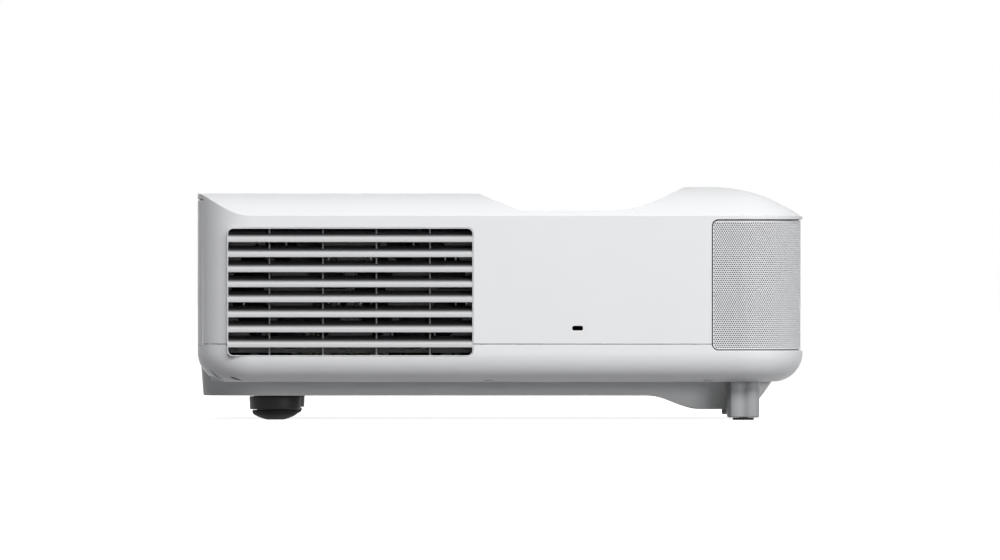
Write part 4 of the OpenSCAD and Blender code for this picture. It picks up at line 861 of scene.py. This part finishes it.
def from_axis(finish, node, axis):
    """Distance of each point of a finish from the middle line of a node's box, in metres."""
    low_end, high_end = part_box(node)
    middle = (low_end + high_end) / 2
    apart = finish.node("ShaderNodeVectorMath", {"operation": "SUBTRACT"}, {0: finish.place, 1: middle})
    across = finish.node("ShaderNodeVectorMath", {"operation": "MULTIPLY"},
                         {0: apart, 1: [0.0 if k == axis else 1.0 for k in range(3)]})
    return finish.node("ShaderNodeVectorMath", {"operation": "LENGTH"}, {0: across}, out="Value")


def coated(name, dark, light, **sockets):
    """Polished glass with a tinted coating that drifts between two colours."""
    made = Finish(name, IOR=1.52, Coat_Weight=0.5, Coat_Roughness=0.02, **sockets)
    drift = made.noise(24.0, 2.0)
    made.set(Base_Color=made.blend(drift, dark, light), Roughness=0.04 + drift * 0.04)
    return made


dress("optical_base", bare_metal("raw_die_casting", (0.46, 0.465, 0.47), 0.44))
dress("laser_module", bare_metal("nickel_plate", (0.66, 0.635, 0.59), 0.26, wear=0.04))
wheel_glass, ring_r = Finish("phosphor_wheel_glass", Coat_Weight=0.4), 0.0205
on_ring = from_axis(wheel_glass, "phosphor_wheel", 0) > ring_r
ring_share = on_ring * (wheel_glass.noise(900.0) * 0.3 + 0.7)
wheel_glass.set(Base_Color=wheel_glass.blend(ring_share, (0.55, 0.56, 0.58), (0.82, 0.66, 0.10)),
                Roughness=0.18 + ring_share * 0.5)
dress("phosphor_wheel", wheel_glass)
dress("wheel_motor", black_plastic)
dress("dichroic_mirrors", coated("dichroic_glass", (0.20, 0.42, 0.72), (0.74, 0.62, 0.24)))
dress("relay_lenses", coated("relay_lens_glass", (0.52, 0.58, 0.62), (0.60, 0.64, 0.68)))

# ---- Image panels and prism --------------------------
# Three black image panels stand round a glued glass prism that joins their three colours.
panel_black = moulded("image_panel_frame", (0.022, 0.023, 0.027), 0.34, grain=0.03, mottle=0.05)
dress("image_panels", panel_black)
dress("cross_prism", coated("prism_glass", (0.50, 0.56, 0.62), (0.62, 0.66, 0.70)))

# ---- Lens barrel and focus ---------------------------
# Black anodised barrel with a slot in its side; the focusing lens slides in it on an aluminium ring,
# whose arm ends in a small black tab beside the dust filter.
barrel_black = bare_metal("black_anodised_aluminium", (0.045, 0.045, 0.048), 0.38, (0.02, 3.0, 0.02))
aluminium = bare_metal("machined_aluminium", (0.70, 0.705, 0.71), 0.30, (0.02, 3.0, 0.02))
lens_glass = coated("coated_lens_glass", (0.030, 0.026, 0.050), (0.050, 0.036, 0.070))
softened("lens_barrel", barrel_black, edge=0.0004)
dress("front_lens", lens_glass)
dress("focus_carriage", aluminium)
dress("focus_lens", lens_glass)
dress("focus_tab", black_plastic)

# ---- Concave mirror ----------------------------------
# A moulded mirror with a silvered hollow face, on a black holder that stands on the base pan's bump.
silvered = Finish("silvered_mirror", Metallic=1.0)
haze = silvered.noise(16.0, 3.0)
silvered.set(Base_Color=silvered.blend(haze, (0.86, 0.87, 0.88), (0.92, 0.92, 0.92)),
             Roughness=0.02 + haze * 0.03)
dress("concave_mirror", silvered)
dress("mirror_holder", black_plastic)

# ---- Laser cooling -----------------------------------
# Sheet fins on an extruded aluminium plate take the laser's heat through three plated copper pipes.
dress("laser_heat_sink", bare_metal("extruded_aluminium", (0.60, 0.605, 0.61), 0.36, (0.05, 1.0, 0.05)))
dress("heat_pipes", bare_metal("dull_nickel", (0.30, 0.295, 0.28), 0.40, wear=0.16))

# ---- Fans --------------------------------------------
# Three black fans of the standard 80 mm size: two side by side behind the louvre, one behind the
# filter. Frames and rotors are glass-filled plastic, the rotor a little glossier.
fan_black = moulded("fan_frame_plastic", (0.060, 0.060, 0.063), 0.46, grain=0.03, mottle=0.06)
rotor_black = moulded("fan_rotor_plastic", (0.075, 0.075, 0.080), 0.30, grain=0.02, mottle=0.06)
for fan in ("exhaust_fan_rear", "exhaust_fan_front", "intake_fan"):
    dress(fan, fan_black)
for rotor in ("exhaust_rotor_rear", "exhaust_rotor_front", "intake_rotor"):
    dress(rotor, rotor_black)

# ---- Boards ------------------------------------------
# Two green glass-fibre boards: the main board upright behind the sockets, and the power board flat on
# the base pan with its transformer, coil and round capacitors.
def laminate(name, across):
    """Solder mask over copper: a grid of tracks shows as a lighter green, and it stands a little up."""
    made = Finish(name, IOR=1.52)
    laid = made.node("ShaderNodeMapping", {}, {"Vector": made.place, "Rotation": across})
    tracks = made.node("ShaderNodeTexBrick", {"offset": 0.37, "squash": 0.6, "squash_frequency": 3},
                       {"Vector": laid, "Color1": (1, 1, 1), "Color2": (0.2, 0.2, 0.2),
                        "Mortar": (0, 0, 0), "Scale": 130.0, "Mortar Size": 0.12}, out="Color")
    share = made.node("ShaderNodeRGBToBW", {}, {0: tracks}) * (made.noise(60.0) > 0.5)
    made.set(Base_Color=made.blend(share, (0.010, 0.075, 0.030), (0.030, 0.150, 0.060)),
             Roughness=0.30 + made.noise(300.0) * 0.12)
    made.bump(share, 0.00004, 0.6)
    return made


dress("main_board", laminate("main_board_laminate", (math.radians(90), 0, 0)))
dress("power_board", laminate("power_board_laminate", (0, 0, 0)))
wound = Finish("wound_parts", IOR=1.5)
wraps = wound.node("ShaderNodeTexWave", {"bands_direction": "Z"},
                   {"Vector": wound.place, "Scale": 260.0, "Distortion": 1.5}, out="Fac")
wound.set(Base_Color=wound.blend(wraps, (0.030, 0.032, 0.040), (0.11, 0.10, 0.045)),
          Roughness=0.42 - wraps * 0.12)
wound.bump(wraps, 0.0002, 0.4)
dress("power_parts", wound)


# ---- Sockets -----------------------------------------
# A black mains inlet, two high-definition video and two USB sockets with folded steel shells, and
# jacks in dark plastic. Their mouths are dark inside.
def socket_shell(name, shell, inner, sunk, metallic):
    """The front face has one colour, and whatever lies deeper than an amount has the dark inner one: the
    black insert in the metal shells, and painted shade in the mouths of the black inlet and jacks.
    """
    made = Finish(name)
    depth = made.node("ShaderNodeSeparateXYZ", {}, {0: made.place}, out="Y")
    inside = (depth < high.y - sunk) * (made.noise(500.0) * 0.2 + 0.8)
    grain = made.noise(900.0, 2.0)
    made.set(Base_Color=made.blend(inside, shell, inner), Roughness=0.28 + inside * 0.2 + grain * 0.1)
    made.set(Metallic=metallic - inside * metallic)
    return made


for node, *told in (
        ("ac_inlet", "mains_inlet_plastic", (0.026, 0.026, 0.028), (0.012, 0.012, 0.013), 0.004, 0.0),
        ("hdmi_ports", "video_socket_shell", (0.60, 0.59, 0.57), (0.020, 0.020, 0.022), 0.0022, 1.0),
        ("usb_ports", "usb_socket_shell", (0.60, 0.59, 0.57), (0.020, 0.022, 0.030), 0.0022, 1.0),
        ("audio_ports", "audio_jack_shell", (0.034, 0.036, 0.040), (0.010, 0.010, 0.011), 0.003, 0.0)):
    dress(node, socket_shell(*told))

# ---- Speakers ----------------------------------------
# Behind the perforated sheet a black carrier holds two drivers, each in its own closed box: a paper
# cone with a rubber rim and a domed cap.
dress("grille_carrier", black_plastic)
box_plastic = moulded("speaker_box_plastic", (0.034, 0.034, 0.036), 0.56, grain=0.06, mottle=0.05)
paper_r, cap_r = 0.0262, 0.0100
for side in ("left", "right"):
    dress("speaker_box_" + side, box_plastic)
    cone = Finish("speaker_cone_paper_" + side, IOR=1.45)
    radius = from_axis(cone, "speaker_cone_" + side, 1)
    rubbery = (radius > paper_r) + (radius < cap_r)
    paper_grain = cone.noise(420.0, 5.0)
    cone.set(Base_Color=cone.blend(rubbery, (0.060, 0.060, 0.062), (0.016, 0.016, 0.017)),
             Roughness=0.55 + paper_grain * 0.3 - rubbery * 0.2)
    cone.bump(paper_grain, 0.0003, 0.3)
    dress("speaker_cone_" + side, cone)
